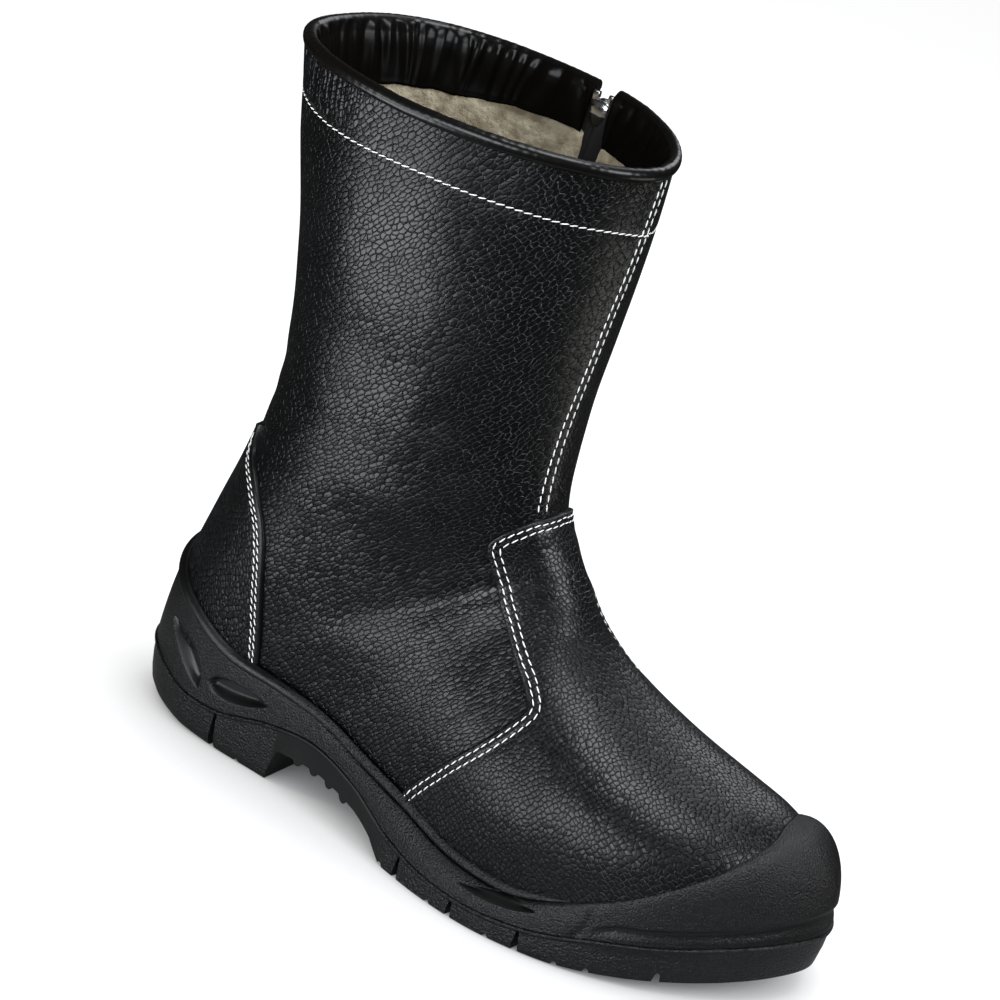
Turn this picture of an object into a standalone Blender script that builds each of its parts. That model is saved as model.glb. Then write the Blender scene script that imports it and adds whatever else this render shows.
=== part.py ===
"""Tall safety boot for the right foot, with a zip on its inner side.

The tables are in millimetres: X runs from the back of the heel to the toe, Y towards the
inner side of the foot, Z up from the ground. The finished parts are shifted along X so that
the origin is the middle of the heel tread.
"""
import math

import bmesh
import bpy
import numpy as np
from mathutils import Matrix, Vector

MM = 0.001
HEEL_CENTRE = 40.0      # X of the part's origin in the tables
GAP = 0.4               # clearance between neighbouring parts
WALL = 2.4              # leather and lining of the upper
PANEL = 1.6             # vamp and counter leather over the quarters
FEATHER = 3.0           # height of the upper's open edge over the footbed
HALF = 11               # faces of a section from the ridge to the sole or the back
SECTION_STEPS = 241     # points of a half section before it is divided evenly
FAN_STEPS = 421         # sections that the surface is looked up between
FOOT_CLOSED = (6.0, 2.5)        # least width of a section that is closed over the footbed, and its rounding
SUBDIVIDE = 2           # sole outline points for each row of its table
SEARCH = (0.98, 40)     # how far in the upper is looked for from the outline, and in how many steps
EDGE = 0.6              # overhang of the outsole at the parting line
EDGE_BANDS = (1.6, 2.6)     # heights of that overhang and of its slope under the line
CUT_BELOW = -6.0        # bottom of the cutters under the tread
CUT_SIDE = 120.0        # their reach to both sides
SLIT = 11.0             # width of the zip opening
SLIT_FOOT = 112.0       # height of its lower end
ZIP_TOP = (91.0, 296.0)     # the zip's line in the side view, X and Z
ZIP_FOOT = (90.0, 112.0)
SLIT_ARC = 9            # points round its foot
SLIT_OVER = 20.0        # how far its cutter stands over the collar
SLIT_SIDE = (25.0, 110.0)       # the Y that its cutter covers
TAPE_WIDTH = 26.0
TAPE_SPAN = (106.0, 297.0)      # heights of the tape's ends
TAPE_NOTCH = (14.0, 60.0, 40.0)     # where the tape parts round the slider
TAPE_DEPTH = 0.9        # clearance between the wall and the tape
TAPE_THICK = 0.9
CHAIN = (5.0, 1.8)      # width and thickness of the closed teeth
CHAIN_FOOT = 118.0
CHAIN_UNDER = 8.0       # its top, under the middle of the slider
SLIDER = (9.2, 7.0, 13.0)
SLIDER_Z = 290.5
SLIDER_PROUD = 2.0      # its outer face, out from the upper's surface
PIN_OUT = 1.9           # the pull's pin, out and up from the middle of that face
PIN_UP = 0.5
BAIL = (2.0, 5.6, 8.6)
BAIL_OUT = 0.1          # middle of the bail, out from the pin
BAIL_HOLE = (6.0, 3.0, 4.6)
PULL = (6.8, 1.6, 24.0)
PULL_WINDOW = (4.2, 6.0, 5.2)
PULL_PIN = 1.6
INSOLE_LIFT = 0.6
INSOLE_THICK = 4.0
INSOLE_PLAY = 1.9
INSOLE_ENDS = ((13, 16, 21, 28), (270, 277, 282))       # close cuts at its heel and toe
INSOLE_RUN = (40, 262, 15)      # even cuts between them

# The upper. Each row is a cut through the boot along Y, from a point of the front line (front_x,
# front_z) to one of the back or bottom line (back_x, back_z). ridge, outer and inner are the Y of
# the front line and of the widest points, widest is how far back these are, and the last two
# are the roundness of the front and back halves.
SECTION_COLUMNS = ("front_x", "front_z", "back_x", "back_z", "ridge", "outer", "inner",
                   "widest", "front_round", "back_round")
SECTIONS = np.array([
    (152.0, 296.0, -8.5, 296.0, 8.0, -52.0, 72.5, 0.56, 2.0, 2.3),
    (152.5, 260.0, 0.0, 262.0, 7.0, -49.5, 63.5, 0.53, 2.1, 2.3),
    (151.0, 222.0, 10.5, 222.0, 5.0, -46.0, 55.5, 0.50, 2.2, 2.3),
    (150.3, 188.0, 17.0, 186.0, 4.0, -42.0, 49.5, 0.50, 2.2, 2.3),
    (152.0, 163.0, 18.0, 156.0, 3.0, -40.0, 46.0, 0.52, 2.2, 2.3),
    (155.0, 150.0, 14.5, 126.0, 3.0, -39.0, 43.5, 0.53, 2.1, 2.3),
    (159.0, 142.5, 7.0, 94.0, 3.0, -38.0, 41.0, 0.55, 2.1, 2.4),
    (162.5, 137.5, 0.0, 64.0, 4.0, -38.0, 40.0, 0.57, 2.1, 2.5),
    (165.5, 133.5, -1.5, 44.0, 4.0, -38.0, 39.0, 0.58, 2.1, 2.7),
    (168.0, 130.5, 7.0, 25.0, 4.0, -38.0, 38.0, 0.60, 2.1, 3.2),
    (170.5, 127.0, 42.0, 24.0, 4.0, -38.5, 37.5, 0.60, 2.1, 4.0),
    (174.0, 122.5, 82.0, 23.0, 5.0, -39.5, 37.0, 0.62, 2.1, 5.0),
    (178.5, 116.5, 116.0, 21.0, 5.0, -43.0, 38.0, 0.65, 2.1, 6.0),
    (186.0, 108.0, 150.0, 16.5, 6.0, -48.0, 41.0, 0.68, 2.1, 6.0),
    (199.0, 98.5, 180.0, 13.5, 6.0, -53.0, 44.5, 0.70, 2.1, 6.0),
    (218.0, 88.8, 208.0, 13.0, 7.0, -54.5, 47.5, 0.70, 2.2, 6.0),
    (239.0, 80.5, 234.0, 14.0, 9.0, -51.0, 48.0, 0.70, 2.3, 6.0),
    (259.0, 74.5, 257.0, 16.5, 12.0, -42.5, 46.0, 0.66, 2.4, 6.0),
    (276.0, 70.0, 275.0, 20.0, 14.0, -30.0, 42.5, 0.60, 2.4, 5.0),
    (290.0, 64.5, 289.5, 25.0, 15.0, -16.0, 36.5, 0.56, 2.3, 4.0),
    (299.0, 58.0, 299.0, 31.0, 16.0, -2.0, 30.0, 0.54, 2.2, 3.0),
    (303.5, 48.0, 303.5, 42.0, 17.0, 17.0, 17.0, 0.50, 2.0, 2.0),
])
FIRST_FLOOR_ROW = 9     # from here on the back line runs along the footbed
STATIONS = np.array([
    0.0, 1.0, 2.0, 3.0, 4.0, 4.7, 5.4, 6.2, 7.0, 7.5, 8.0, 8.5, 8.86, 9.1, 9.5, 10.2, 11.0, 12.0, 12.8, 13.5,
    14.1, 14.7, 15.3, 15.9, 16.5, 17.1, 17.7, 18.3, 18.9, 19.5, 20.1, 20.6, 21.0,
])

# The sole. Each row is a place along X: outer and inner are the Y of the outline, the joints are the
# heights of the sole's top edge on the two sides, part is the height of the line between midsole
# and outsole, inset is how far the tread lies inside the outline, groove is the depth of the
# band round the toe, dome is the roundness of the side wall, bead is how far its top edge stands
# out from the upper and lip is how far it stands up.
SOLE_COLUMNS = ("x", "outer", "inner", "outer_joint", "inner_joint", "part", "inset", "groove", "dome",
                "bead", "lip")
SOLE_ROWS = np.array([
    (-7.5, 2.0, 2.0, 72.0, 72.0, 27.0, 8.0, 0.0, 1.4, 3.2, 0.8),
    (-3.5, -16.5, 20.5, 69.0, 69.0, 26.5, 8.0, 0.0, 1.5, 3.2, 0.8),
    (8.0, -29.5, 33.0, 63.5, 63.5, 24.0, 7.5, 0.0, 1.7, 3.2, 0.8),
    (28.0, -38.5, 40.0, 55.0, 55.0, 18.0, 5.0, 0.0, 2.1, 3.2, 0.8),
    (50.0, -41.0, 42.0, 46.6, 46.6, 18.0, 2.5, 0.0, 2.3, 3.2, 0.8),
    (75.0, -42.0, 42.0, 44.5, 44.5, 25.0, 2.0, 0.0, 2.3, 3.2, 0.8),
    (100.0, -43.5, 41.0, 41.5, 41.5, 28.0, 1.5, 0.0, 2.3, 3.2, 0.8),
    (125.0, -48.0, 41.5, 35.5, 36.0, 23.0, 0.5, 0.0, 2.3, 3.2, 0.8),
    (150.0, -55.5, 44.0, 30.0, 31.0, 14.0, 0.0, 0.0, 2.3, 3.2, 0.8),
    (175.0, -61.5, 48.0, 24.0, 26.0, 9.5, 0.0, 0.0, 2.3, 3.2, 0.8),
    (200.0, -63.5, 52.0, 22.5, 23.5, 9.2, 0.3, 0.0, 2.3, 3.2, 0.8),
    (225.0, -60.5, 55.0, 25.5, 25.5, 12.0, 1.5, 0.0, 2.3, 3.2, 0.8),
    (248.0, -53.0, 56.0, 33.5, 33.0, 17.5, 3.0, 0.8, 2.3, 3.2, 0.8),
    (270.0, -40.5, 54.5, 46.5, 43.0, 21.5, 5.0, 1.5, 2.3, 3.2, 1.2),
    (290.0, -23.5, 50.0, 59.5, 60.0, 26.0, 9.0, 1.5, 2.3, 3.2, 2.0),
    (306.0, -3.0, 39.0, 65.6, 66.2, 29.5, 11.0, 1.5, 2.3, 3.6, 2.8),
    (313.5, 18.0, 18.0, 67.0, 67.0, 31.0, 12.0, 1.5, 2.3, 3.8, 3.2),
])
SPINE_X = (30.0, 262.0)     # the sole's outline is drawn in towards this stretch of its middle
SPINE_Y = (1.0, 11.0)
# Heights of the flat joint under the foot, between midsole and outsole, X and Z.
UNDERFOOT = ((-10, 16), (60, 16), (80, 18.6), (100, 19.8), (125, 17), (150, 12.3), (180, 9),
             (220, 8.6), (250, 11), (280, 17), (310, 24))
# The arch behind the forefoot and the toe spring, X and Z, cut across the whole outsole.
HEEL_BREAST = ((79.0, CUT_BELOW), (79.6, 2.0), (82.5, 14.5))
ARCH = ((82.5, 14.5), (95, 15.5), (105, 15.5), (116, 14), (128, 11.5), (140, 7.0), (151, -0.5))
ARCH_RIBS = (91.0, 127.0, 4, 2.2)       # first and last X, how many, height
ARCH_STEPS = 45
TOE_SPRING = ((226, -0.4), (236, 0.8), (248, 2.2), (262, 4.2), (276, 6.4), (290, 8.8), (302, 11.5), (325, 18))
# Channels between the lugs: X, Y, length, width, top and turn about Z in degrees.
CHANNELS = (
    (22, -25, 34, 4, 4.5, -60), (22, 27, 34, 4, 4.5, 60),
    (52, -27, 34, 4, 4.5, 80), (52, 28, 34, 4, 4.5, -80),
    (163, -42, 42, 4, 4.5, 76), (165, 32, 38, 4, 4.5, -76),
    (192, -45, 44, 4, 4.5, 80), (194, 38, 40, 4, 4.5, -80),
    (221, -43, 44, 4, 4.5, 86), (223, 40, 42, 4, 4.5, -86),
    (249, 41, 42, 4, 6.0, 82), (268, -30, 40, 7, 9.0, -64), (275, 40, 36, 6, 9.0, 62),
)
# Smooth hollows in the side wall: X, Y, Z, length, height, depth, turn about Z, slope.
WINDOWS = (
    (23, -37.5, 34, 34, 9, 6, -22, 40), (58, -42.5, 29, 32, 10, 6, -3, -4),
    (205, -63.5, 16.5, 38, 4.5, 5, 2, 4),
)
WINDOW_OUT = 1.2        # on the inner side they stand this far out from the outline
WINDOW_FACES = (12, 6)

# Levels of the midsole's side wall, from the parting line to the top edge, and which lie in the groove.
WALL_LEVELS = ((0.0, 0), (0.12, 0), (0.17, 1), (0.33, 1), (0.39, 0), (0.60, 0), (0.80, 0), (0.94, 0))
BEAD_CREST = 0.72        # the top edge's crest, as a share of the bead
BEAD_BACK = (4.0, 0.5)      # the top edge's hidden end, in from the upper and down
# The outsole's side wall: share of the inset, and share of the height under the parting line.
TREAD_LEVELS = ((0.25, 0.3), (0.6, 0.1), (1.0, 0.0))
UNDERFOOT_STEP = (4.0, 8.0)     # where the parting line's lip ends and the flat joint starts

# The vamp and counter in the side view, X and Z. They lie over the quarters on both sides.
VAMP_EDGE = ((146, 0), (147, 30.5), (160, 50), (172.6, 66), (181.7, 79.5), (184, 84.5), (179.4, 89.6),
             (170, 97.8), (160.4, 106.7), (150, 118), (143.3, 128.5), (140.6, 134.5), (142, 139),
             (149.5, 146.5), (153.7, 150.2), (175, 166), (330, 130), (330, 0))
COUNTER_EDGE = ((-30, 142), (14, 140), (20, 138), (24.5, 131), (28, 125), (34, 118.5), (43, 108), (49, 96),
                (53, 82), (56, 66), (59, 50), (60.5, 38), (61, 0), (-30, 0))

# How much lower than at the back the collar lies, round it from the outer back over the ridge to the
# inner back: side share and drop.
COLLAR_LIE = ((-1.0, 0.0), (-0.85, 0.0), (-0.72, -1.5), (-0.6, -3.5), (-0.5, -4.9), (-0.3, -6.0),
              (-0.1, -6.6), (0.0, -6.5), (0.1, -4.8), (0.2, -2.2), (0.3, -0.4), (0.36, 0.0), (1.0, 0.0))
COLLAR_RISE = 4.0       # the upper's top edge at the back, over the first section
# The collar's padded roll: outward from the upper's surface, and height.
ROLL = ((0.9, 298.5), (1.6, 299.4), (1.8, 300.8), (1.2, 302.4), (-0.4, 303.4), (-2.2, 303.6),
        (-4.2, 302.8), (-6.0, 300.4), (-7.2, 295.5), (-7.6, 288.0), (-7.2, 277.0), (-5.2, 277.0),
        (-5.0, 301.1), (0.9, 301.1))
ROLL_FACES = 40
ROLL_STEPS = 60         # points of a half outline that the roll follows
ROLL_END = 8.2          # distance from the zip's line to the ends of the roll
ROLL_INNER = 30.0       # the zip's stretch of the outline has a larger Y than this


def through(rows, where):
    """Smooth values of a table at fractional row numbers."""
    rows = np.asarray(rows, float)
    slopes = np.gradient(rows, axis=0)
    where = np.atleast_1d(np.asarray(where, float))
    row = np.clip(where.astype(int), 0, len(rows) - 2)
    u = (where - row)[:, None]
    start, stop = rows[row], rows[row + 1]
    leave, arrive = slopes[row], slopes[row + 1]
    return ((1 + 2 * u) * (1 - u) ** 2 * start + u * (1 - u) ** 2 * leave
            + u * u * (3 - 2 * u) * stop + u * u * (u - 1) * arrive)


def sections(where):
    return dict(zip(SECTION_COLUMNS, through(SECTIONS, where).T))


FAN = sections(np.linspace(0, len(SECTIONS) - 1, FAN_STEPS))


def floor_height(x):
    """Height of the footbed."""
    rows = SECTIONS[FIRST_FLOOR_ROW:]
    return np.interp(x, rows[:, 2], rows[:, 3])


def reach(x, z, side):
    """Y of the upper's outer surface at a place of the side view, side -1 outer or 1 inner."""
    x, z = np.broadcast_arrays(np.atleast_1d(np.asarray(x, float)), np.asarray(z, float))
    run = FAN["back_x"] - FAN["front_x"]
    drop = FAN["back_z"] - FAN["front_z"]
    ahead = run * (z[:, None] - FAN["front_z"]) - drop * (x[:, None] - FAN["front_x"])
    after = np.clip(np.argmax(ahead < 0, axis=1), 1, len(run) - 1)
    pick = np.arange(len(x))
    part = ahead[pick, after - 1] / (ahead[pick, after - 1] - ahead[pick, after])
    row = {name: FAN[name][after - 1] * (1 - part) + FAN[name][after] * part for name in FAN}
    run = row["back_x"] - row["front_x"]
    drop = row["back_z"] - row["front_z"]
    t = ((x - row["front_x"]) * run + (z - row["front_z"]) * drop) / (run ** 2 + drop ** 2)
    front = t < row["widest"]
    along = np.where(front, 1 - t / row["widest"], (t - row["widest"]) / (1 - row["widest"]))
    power = np.where(front, row["front_round"], row["back_round"])
    across = np.clip(1 - np.clip(along, 0, None) ** power, 0, None) ** (1 / power)
    far = row["outer"] if side < 0 else row["inner"]
    inside = (t > 0) & (t < 1)
    return row["ridge"] + (far - row["ridge"]) * np.where(inside, across, -1.0)


def inside_upper(points):
    x, y, z = points.T
    return (y > reach(x, z, -1)) & (y < reach(x, z, 1))


def evenly(line, count):
    """The line again, with points at equal distances."""
    steps = np.linalg.norm(np.diff(line, axis=0), axis=1)
    length = np.concatenate([[0.0], np.cumsum(steps)])
    where = np.linspace(0, length[-1], count)
    return np.stack([np.interp(where, length, column) for column in line.T], axis=1)


def half_section(station, side, count=HALF + 1):
    """From the ridge down to the open edge over the footbed, or round to the back."""
    row = {name: value[0] for name, value in sections(station).items()}
    angle = np.linspace(0, math.pi, SECTION_STEPS)
    front = angle <= math.pi / 2
    power = np.where(front, row["front_round"], row["back_round"])
    across = np.abs(np.sin(angle)) ** (2 / power)
    along = np.abs(np.cos(angle)) ** (2 / power)
    across[-1] = 0.0
    widest = row["widest"]
    t = np.where(front, widest * (1 - along), widest + (1 - widest) * along)
    far = row["outer"] if side < 0 else row["inner"]
    line = np.stack([
        row["front_x"] + (row["back_x"] - row["front_x"]) * t,
        row["ridge"] + (far - row["ridge"]) * across,
        row["front_z"] + (row["back_z"] - row["front_z"]) * t,
    ], axis=1)
    over = line[:, 2] - floor_height(line[:, 0]) - FEATHER
    below = np.nonzero(over < 0)[0]
    if len(below):
        last = below[0]
        part = over[last - 1] / (over[last - 1] - over[last])
        cut = line[last - 1] + part * (line[last] - line[last - 1])
        line = np.vstack([line[:last], cut])
    return evenly(line, count)


def collar_lie(share):
    """Drop of the collar at a side share, from -1 at the outer back to 1 at the inner back."""
    return np.interp(share, *zip(*COLLAR_LIE))


def upper_grid():
    loops = []
    share = np.linspace(-1, 1, 2 * HALF + 1)
    for station in STATIONS:
        outer = half_section(station, -1)
        inner = half_section(station, 1)
        loop = np.vstack([outer[::-1], inner[1:]])
        loop[:, 2] += max(0.0, 1 - station) * (COLLAR_RISE + collar_lie(share))
        loops.append(loop)
    return np.array(loops)


def filled_grid():
    """The upper's sections closed along the footbed."""
    loops = []
    for loop in upper_grid():
        start, stop = loop[0], loop[-1]
        width = stop[1] - start[1]
        sink = np.array((0.0, 0.0, FEATHER if width > FOOT_CLOSED[0] else 0.0))
        tuck = np.array((0.0, min(FOOT_CLOSED[1], width / 4), 0.0))
        middle = (start + stop) / 2 - sink
        loops.append(np.vstack([loop, stop - tuck - sink, middle, start + tuck - sink]))
    return np.array(loops)


def sole_loop():
    """The sole's rows as one closed run of points round its outline, by column name."""
    rows = dict(zip(SOLE_COLUMNS, SOLE_ROWS.T))
    shared = [rows[name] for name in SOLE_COLUMNS[5:]]
    there = np.stack([rows["x"], rows["outer"], rows["outer_joint"], *shared], axis=1)
    back = np.stack([rows["x"], rows["inner"], rows["inner_joint"], *shared], axis=1)
    ring = np.vstack([there, back[-2:0:-1]])
    padded = np.vstack([ring[-2:], ring, ring[:3]])
    where = 2 + np.arange(len(ring) * SUBDIVIDE) / SUBDIVIDE
    loop = dict(zip(("x", "y", "joint", *SOLE_COLUMNS[5:]), through(padded, where).T))
    spine_x = np.clip(loop["x"], *SPINE_X)
    spine_y = np.interp(spine_x, SPINE_X, SPINE_Y)
    inward = np.stack([spine_x - loop["x"], spine_y - loop["y"]], axis=1)
    loop["room"] = np.linalg.norm(inward, axis=1)
    loop["inward"] = inward / loop["room"][:, None]
    loop["depth"] = depth_to_upper(loop)
    return loop


def depth_to_upper(loop):
    """Distance from the outline in to the upper, at the height of the sole's top edge."""
    near = np.zeros(len(loop["x"]))
    far = loop["room"] * SEARCH[0]
    for _ in range(SEARCH[1]):
        middle = (near + far) / 2
        hit = inside_upper(sole_ring(loop, middle, loop["joint"]))
        far = np.where(hit, middle, far)
        near = np.where(hit, near, middle)
    return far


def sole_ring(loop, inward, height):
    flat = np.stack([loop["x"], loop["y"]], axis=1) + loop["inward"] * np.broadcast_to(
        inward, loop["x"].shape)[:, None]
    return np.column_stack([flat, np.broadcast_to(height, loop["x"].shape)])


def underfoot_rings(loop, lower):
    """The joint between midsole and outsole, from the outline inwards."""
    lip = sole_ring(loop, UNDERFOOT_STEP[0], loop["part"] - lower)
    flat = sole_ring(loop, UNDERFOOT_STEP[1], 0.0)
    flat[:, 2] = np.interp(flat[:, 0], *zip(*UNDERFOOT)) - lower
    return [lip, flat]


def midsole_rings(loop):
    rise = loop["joint"] - loop["part"]
    lean = loop["depth"] - loop["bead"]
    rings = underfoot_rings(loop, 0.0)[::-1]
    for level, cut in WALL_LEVELS:
        inward = lean * (1 - (1 - level ** loop["dome"]) ** (1 / loop["dome"])) + cut * loop["groove"]
        rings.append(sole_ring(loop, inward, loop["part"] + level * rise))
    rings.append(sole_ring(loop, loop["depth"] - BEAD_CREST * loop["bead"], loop["joint"] + loop["lip"]))
    rings.append(sole_ring(loop, loop["depth"] + BEAD_BACK[0], loop["joint"] - BEAD_BACK[1]))
    return rings


def outsole_rings(loop):
    top = loop["part"] - GAP
    rings = underfoot_rings(loop, GAP)[::-1]
    rings.append(sole_ring(loop, -EDGE, top))
    rings.append(sole_ring(loop, -EDGE, top - EDGE_BANDS[0]))
    rings.append(sole_ring(loop, -EDGE / 3, top - EDGE_BANDS[1]))
    for share, level in TREAD_LEVELS:
        rings.append(sole_ring(loop, share * loop["inset"], top * level))
    return rings


def zip_x(z):
    return np.interp(z, (ZIP_FOOT[1], ZIP_TOP[1]), (ZIP_FOOT[0], ZIP_TOP[0]))


def collection(name):
    group = bpy.data.collections.new(name)
    bpy.context.scene.collection.children.link(group)
    return group


def solid(name, mesh_maker, group=None, material=None, smooth=40, pivot=(HEEL_CENTRE, 0.0, 0.0)):
    """One object from a filled-in bmesh in table millimetres, with its origin at the pivot."""
    bm = mesh_maker()
    bmesh.ops.remove_doubles(bm, verts=bm.verts, dist=0.02)
    bmesh.ops.dissolve_degenerate(bm, edges=bm.edges, dist=0.01)
    bmesh.ops.translate(bm, vec=-Vector(pivot), verts=bm.verts)
    bmesh.ops.scale(bm, vec=(MM, MM, MM), verts=bm.verts)
    mesh = bpy.data.meshes.new(name)
    bm.to_mesh(mesh)
    bm.free()
    part = bpy.data.objects.new(name, mesh)
    part.location = (Vector(pivot) - Vector((HEEL_CENTRE, 0, 0))) * MM
    (group or PARTS).objects.link(part)
    if group:
        part.hide_render = True
        part.display_type = "WIRE"
    if material:
        mesh.materials.append(material)
    mesh.shade_smooth()
    mesh.set_sharp_from_angle(angle=math.radians(smooth))
    return part


def sheet(grid, closed=False):
    """Faces between the neighbouring loops of a grid."""
    bm = bmesh.new()
    rows = [[bm.verts.new(point) for point in loop] for loop in grid]
    for upper, lower in zip(rows, rows[1:]):
        count = len(upper)
        for i in range(count if closed else count - 1):
            j = (i + 1) % count
            bm.faces.new((lower[i], lower[j], upper[j], upper[i]))
    return bm, rows


def filled_upper():
    bm, rows = sheet(filled_grid(), closed=True)
    bmesh.ops.triangulate(bm, faces=bm.faces, quad_method="FIXED")
    bm.faces.new(rows[0])
    bmesh.ops.remove_doubles(bm, verts=bm.verts, dist=0.02)
    bmesh.ops.recalc_face_normals(bm, faces=bm.faces)
    return bm


def open_upper():
    bm = sheet(upper_grid())[0]
    bmesh.ops.triangulate(bm, faces=bm.faces, quad_method="FIXED")
    return bm


def ladder(bm, ring):
    """Fill a ring of the sole with faces across it."""
    count = len(ring)
    half = count // 2
    bm.faces.new((ring[0], ring[1], ring[-1]))
    for i in range(1, half - 1):
        bm.faces.new((ring[i], ring[i + 1], ring[count - i - 1], ring[count - i]))
    bm.faces.new((ring[half - 1], ring[half], ring[half + 1]))


def sole_block(rings, flat_end):
    bm, rows = sheet(rings, closed=True)
    ladder(bm, rows[0])
    if flat_end:
        bm.faces.new(rows[-1])
    else:
        ladder(bm, rows[-1])
    bmesh.ops.recalc_face_normals(bm, faces=bm.faces)
    return bm


def prism(outline, low=-CUT_SIDE, high=CUT_SIDE):
    """An outline of the side view, extruded across the boot."""
    bm = bmesh.new()
    face = bm.faces.new([bm.verts.new((x, low, z)) for x, z in outline])
    moved = bmesh.ops.extrude_face_region(bm, geom=[face])["geom"]
    verts = [item for item in moved if isinstance(item, bmesh.types.BMVert)]
    bmesh.ops.translate(bm, verts=verts, vec=(0, high - low, 0))
    bmesh.ops.recalc_face_normals(bm, faces=bm.faces)
    return bm


def block(size, centre, turn=None, bevel=0.0):
    bm = bmesh.new()
    bmesh.ops.create_cube(bm, size=1.0)
    bmesh.ops.scale(bm, vec=size, verts=bm.verts)
    if bevel:
        bmesh.ops.bevel(bm, geom=bm.edges, offset=bevel, segments=2, affect="EDGES", profile=0.5)
    if turn is not None:
        bmesh.ops.transform(bm, matrix=turn, verts=bm.verts)
    bmesh.ops.translate(bm, vec=centre, verts=bm.verts)
    return bm


def arch_outline():
    first, last, count, height = ARCH_RIBS
    x = np.linspace(ARCH[0][0], ARCH[-1][0], ARCH_STEPS)
    z = np.interp(x, *zip(*ARCH))
    phase = (x - first) / (last - first) * count
    rib = np.where((x > first) & (x < last), np.sin(phase * 2 * math.pi), 0.0)
    z = z - height * np.clip(rib, 0, None) ** 0.5
    return list(HEEL_BREAST) + list(zip(x[1:], z[1:])) + [(ARCH[-1][0], CUT_BELOW)]


def spring_outline():
    return list(TOE_SPRING) + [(TOE_SPRING[-1][0], CUT_BELOW), (TOE_SPRING[0][0], CUT_BELOW)]


def slit_outline():
    """The zip's opening in the side view, round at its foot."""
    radius = SLIT / 2
    foot_x, foot_z = float(zip_x(SLIT_FOOT)), SLIT_FOOT + radius
    arc = np.linspace(math.pi, 2 * math.pi, SLIT_ARC)
    outline = [(foot_x + radius * math.cos(a), foot_z + radius * math.sin(a)) for a in arc]
    top_x, top_z = ZIP_TOP[0], ZIP_TOP[1] + SLIT_OVER
    return outline + [(top_x + radius, top_z), (top_x - radius, top_z)]


def wall_y(x, z):
    """Y of the inner side's surface, which goes straight up over the first section."""
    return reach(x, np.minimum(z, ZIP_TOP[1] - 0.01), 1)


def roll_line(z):
    """The upper's outline at a height, from the front side of the zip round to its back side: X, Y and
    the collar's lie, and the directions out of it."""
    station = np.clip((ZIP_TOP[1] - z) / (SECTIONS[0, 1] - SECTIONS[1, 1]), 0, 1)
    outer = half_section(station, -1, ROLL_STEPS)
    ring = np.vstack([outer[::-1], half_section(station, 1, ROLL_STEPS)[1:-1]])
    ring[:, 2] = collar_lie(np.linspace(-1, 1, 2 * ROLL_STEPS - 1)[:-1])
    inner = ring[:, 1] > ROLL_INNER
    middle = float(zip_x(z))
    start = np.nonzero(inner & (ring[:, 0] > middle + ROLL_END))[0][-1]
    stop = np.nonzero(inner & (ring[:, 0] < middle - ROLL_END))[0][0]
    ends = []
    for x, nearest in ((middle + ROLL_END, start), (middle - ROLL_END, stop)):
        ends.append((x, wall_y(x, z)[0], ring[nearest, 2]))
    front = ring[:start + 1][::-1]
    back = ring[stop:][::-1]
    line = evenly(np.vstack([ends[0], front, back, ends[1]]), ROLL_FACES + 1)
    ahead = np.gradient(line[:, :2], axis=0)
    out = np.stack([-ahead[:, 1], ahead[:, 0]], axis=1)
    return line, out / np.linalg.norm(out, axis=1)[:, None]


def roll_grid():
    columns = []
    for offset, z in ROLL:
        line, out = roll_line(z)
        columns.append(np.column_stack([line[:, :2] + out * offset, z + line[:, 2]]))
    return np.stack(columns, axis=1)


def collar_roll():
    bm, rows = sheet(roll_grid(), closed=True)
    bm.faces.new(rows[0])
    bm.faces.new(rows[-1])
    bmesh.ops.recalc_face_normals(bm, faces=bm.faces)
    return bm


def wall_strip(half_width, low, high, near, far, columns=5, rows=16):
    """A strip along the zip's line, between two depths under the upper's surface."""
    grid = []
    for z in np.linspace(low, high, rows):
        x = zip_x(z) + np.linspace(-half_width, half_width, columns)
        y = wall_y(x, z)
        outside = np.stack([x, y - near, np.full(columns, z)], axis=1)
        inside = np.stack([x, y - far, np.full(columns, z)], axis=1)
        grid.append(np.vstack([outside, inside[::-1]]))
    bm, loops = sheet(grid, closed=True)
    bm.faces.new(loops[0])
    bm.faces.new(loops[-1])
    bmesh.ops.recalc_face_normals(bm, faces=bm.faces)
    return bm


def insole_plate():
    """A plate that follows the footbed inside the upper's wall."""
    x = np.concatenate([INSOLE_ENDS[0], np.linspace(*INSOLE_RUN), INSOLE_ENDS[1]])
    low = floor_height(x) + INSOLE_LIFT
    sides = []
    for side in (-1, 1):
        sides.append(reach(x, floor_height(x) + FEATHER, side) - side * (WALL + INSOLE_PLAY))
    grid = []
    for height in (0.0, INSOLE_THICK):
        for y in sides:
            grid.append(np.stack([x, y, low + height], axis=1))
    ring = np.stack([grid[0], grid[1], grid[3], grid[2]], axis=1)
    bm, loops = sheet(ring, closed=True)
    bm.faces.new(loops[0])
    bm.faces.new(loops[-1])
    bmesh.ops.recalc_face_normals(bm, faces=bm.faces)
    return bm


def slider_place():
    """Middle of the slider's outer face."""
    x = float(zip_x(SLIDER_Z))
    return x, float(reach(x, SLIDER_Z, 1)[0]) + SLIDER_PROUD, SLIDER_Z


def pin_place():
    """Middle of the pull's pin, inside the slider's bail. The pull turns about its X."""
    x, y, z = slider_place()
    return x, y + PIN_OUT, z + PIN_UP


def join(*pieces):
    """Several loose forms in one mesh, for a cutter."""
    whole = bmesh.new()
    for piece in pieces:
        mesh = bpy.data.meshes.new("piece")
        piece.to_mesh(mesh)
        piece.free()
        whole.from_mesh(mesh)
        bpy.data.meshes.remove(mesh)
    return whole


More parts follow.
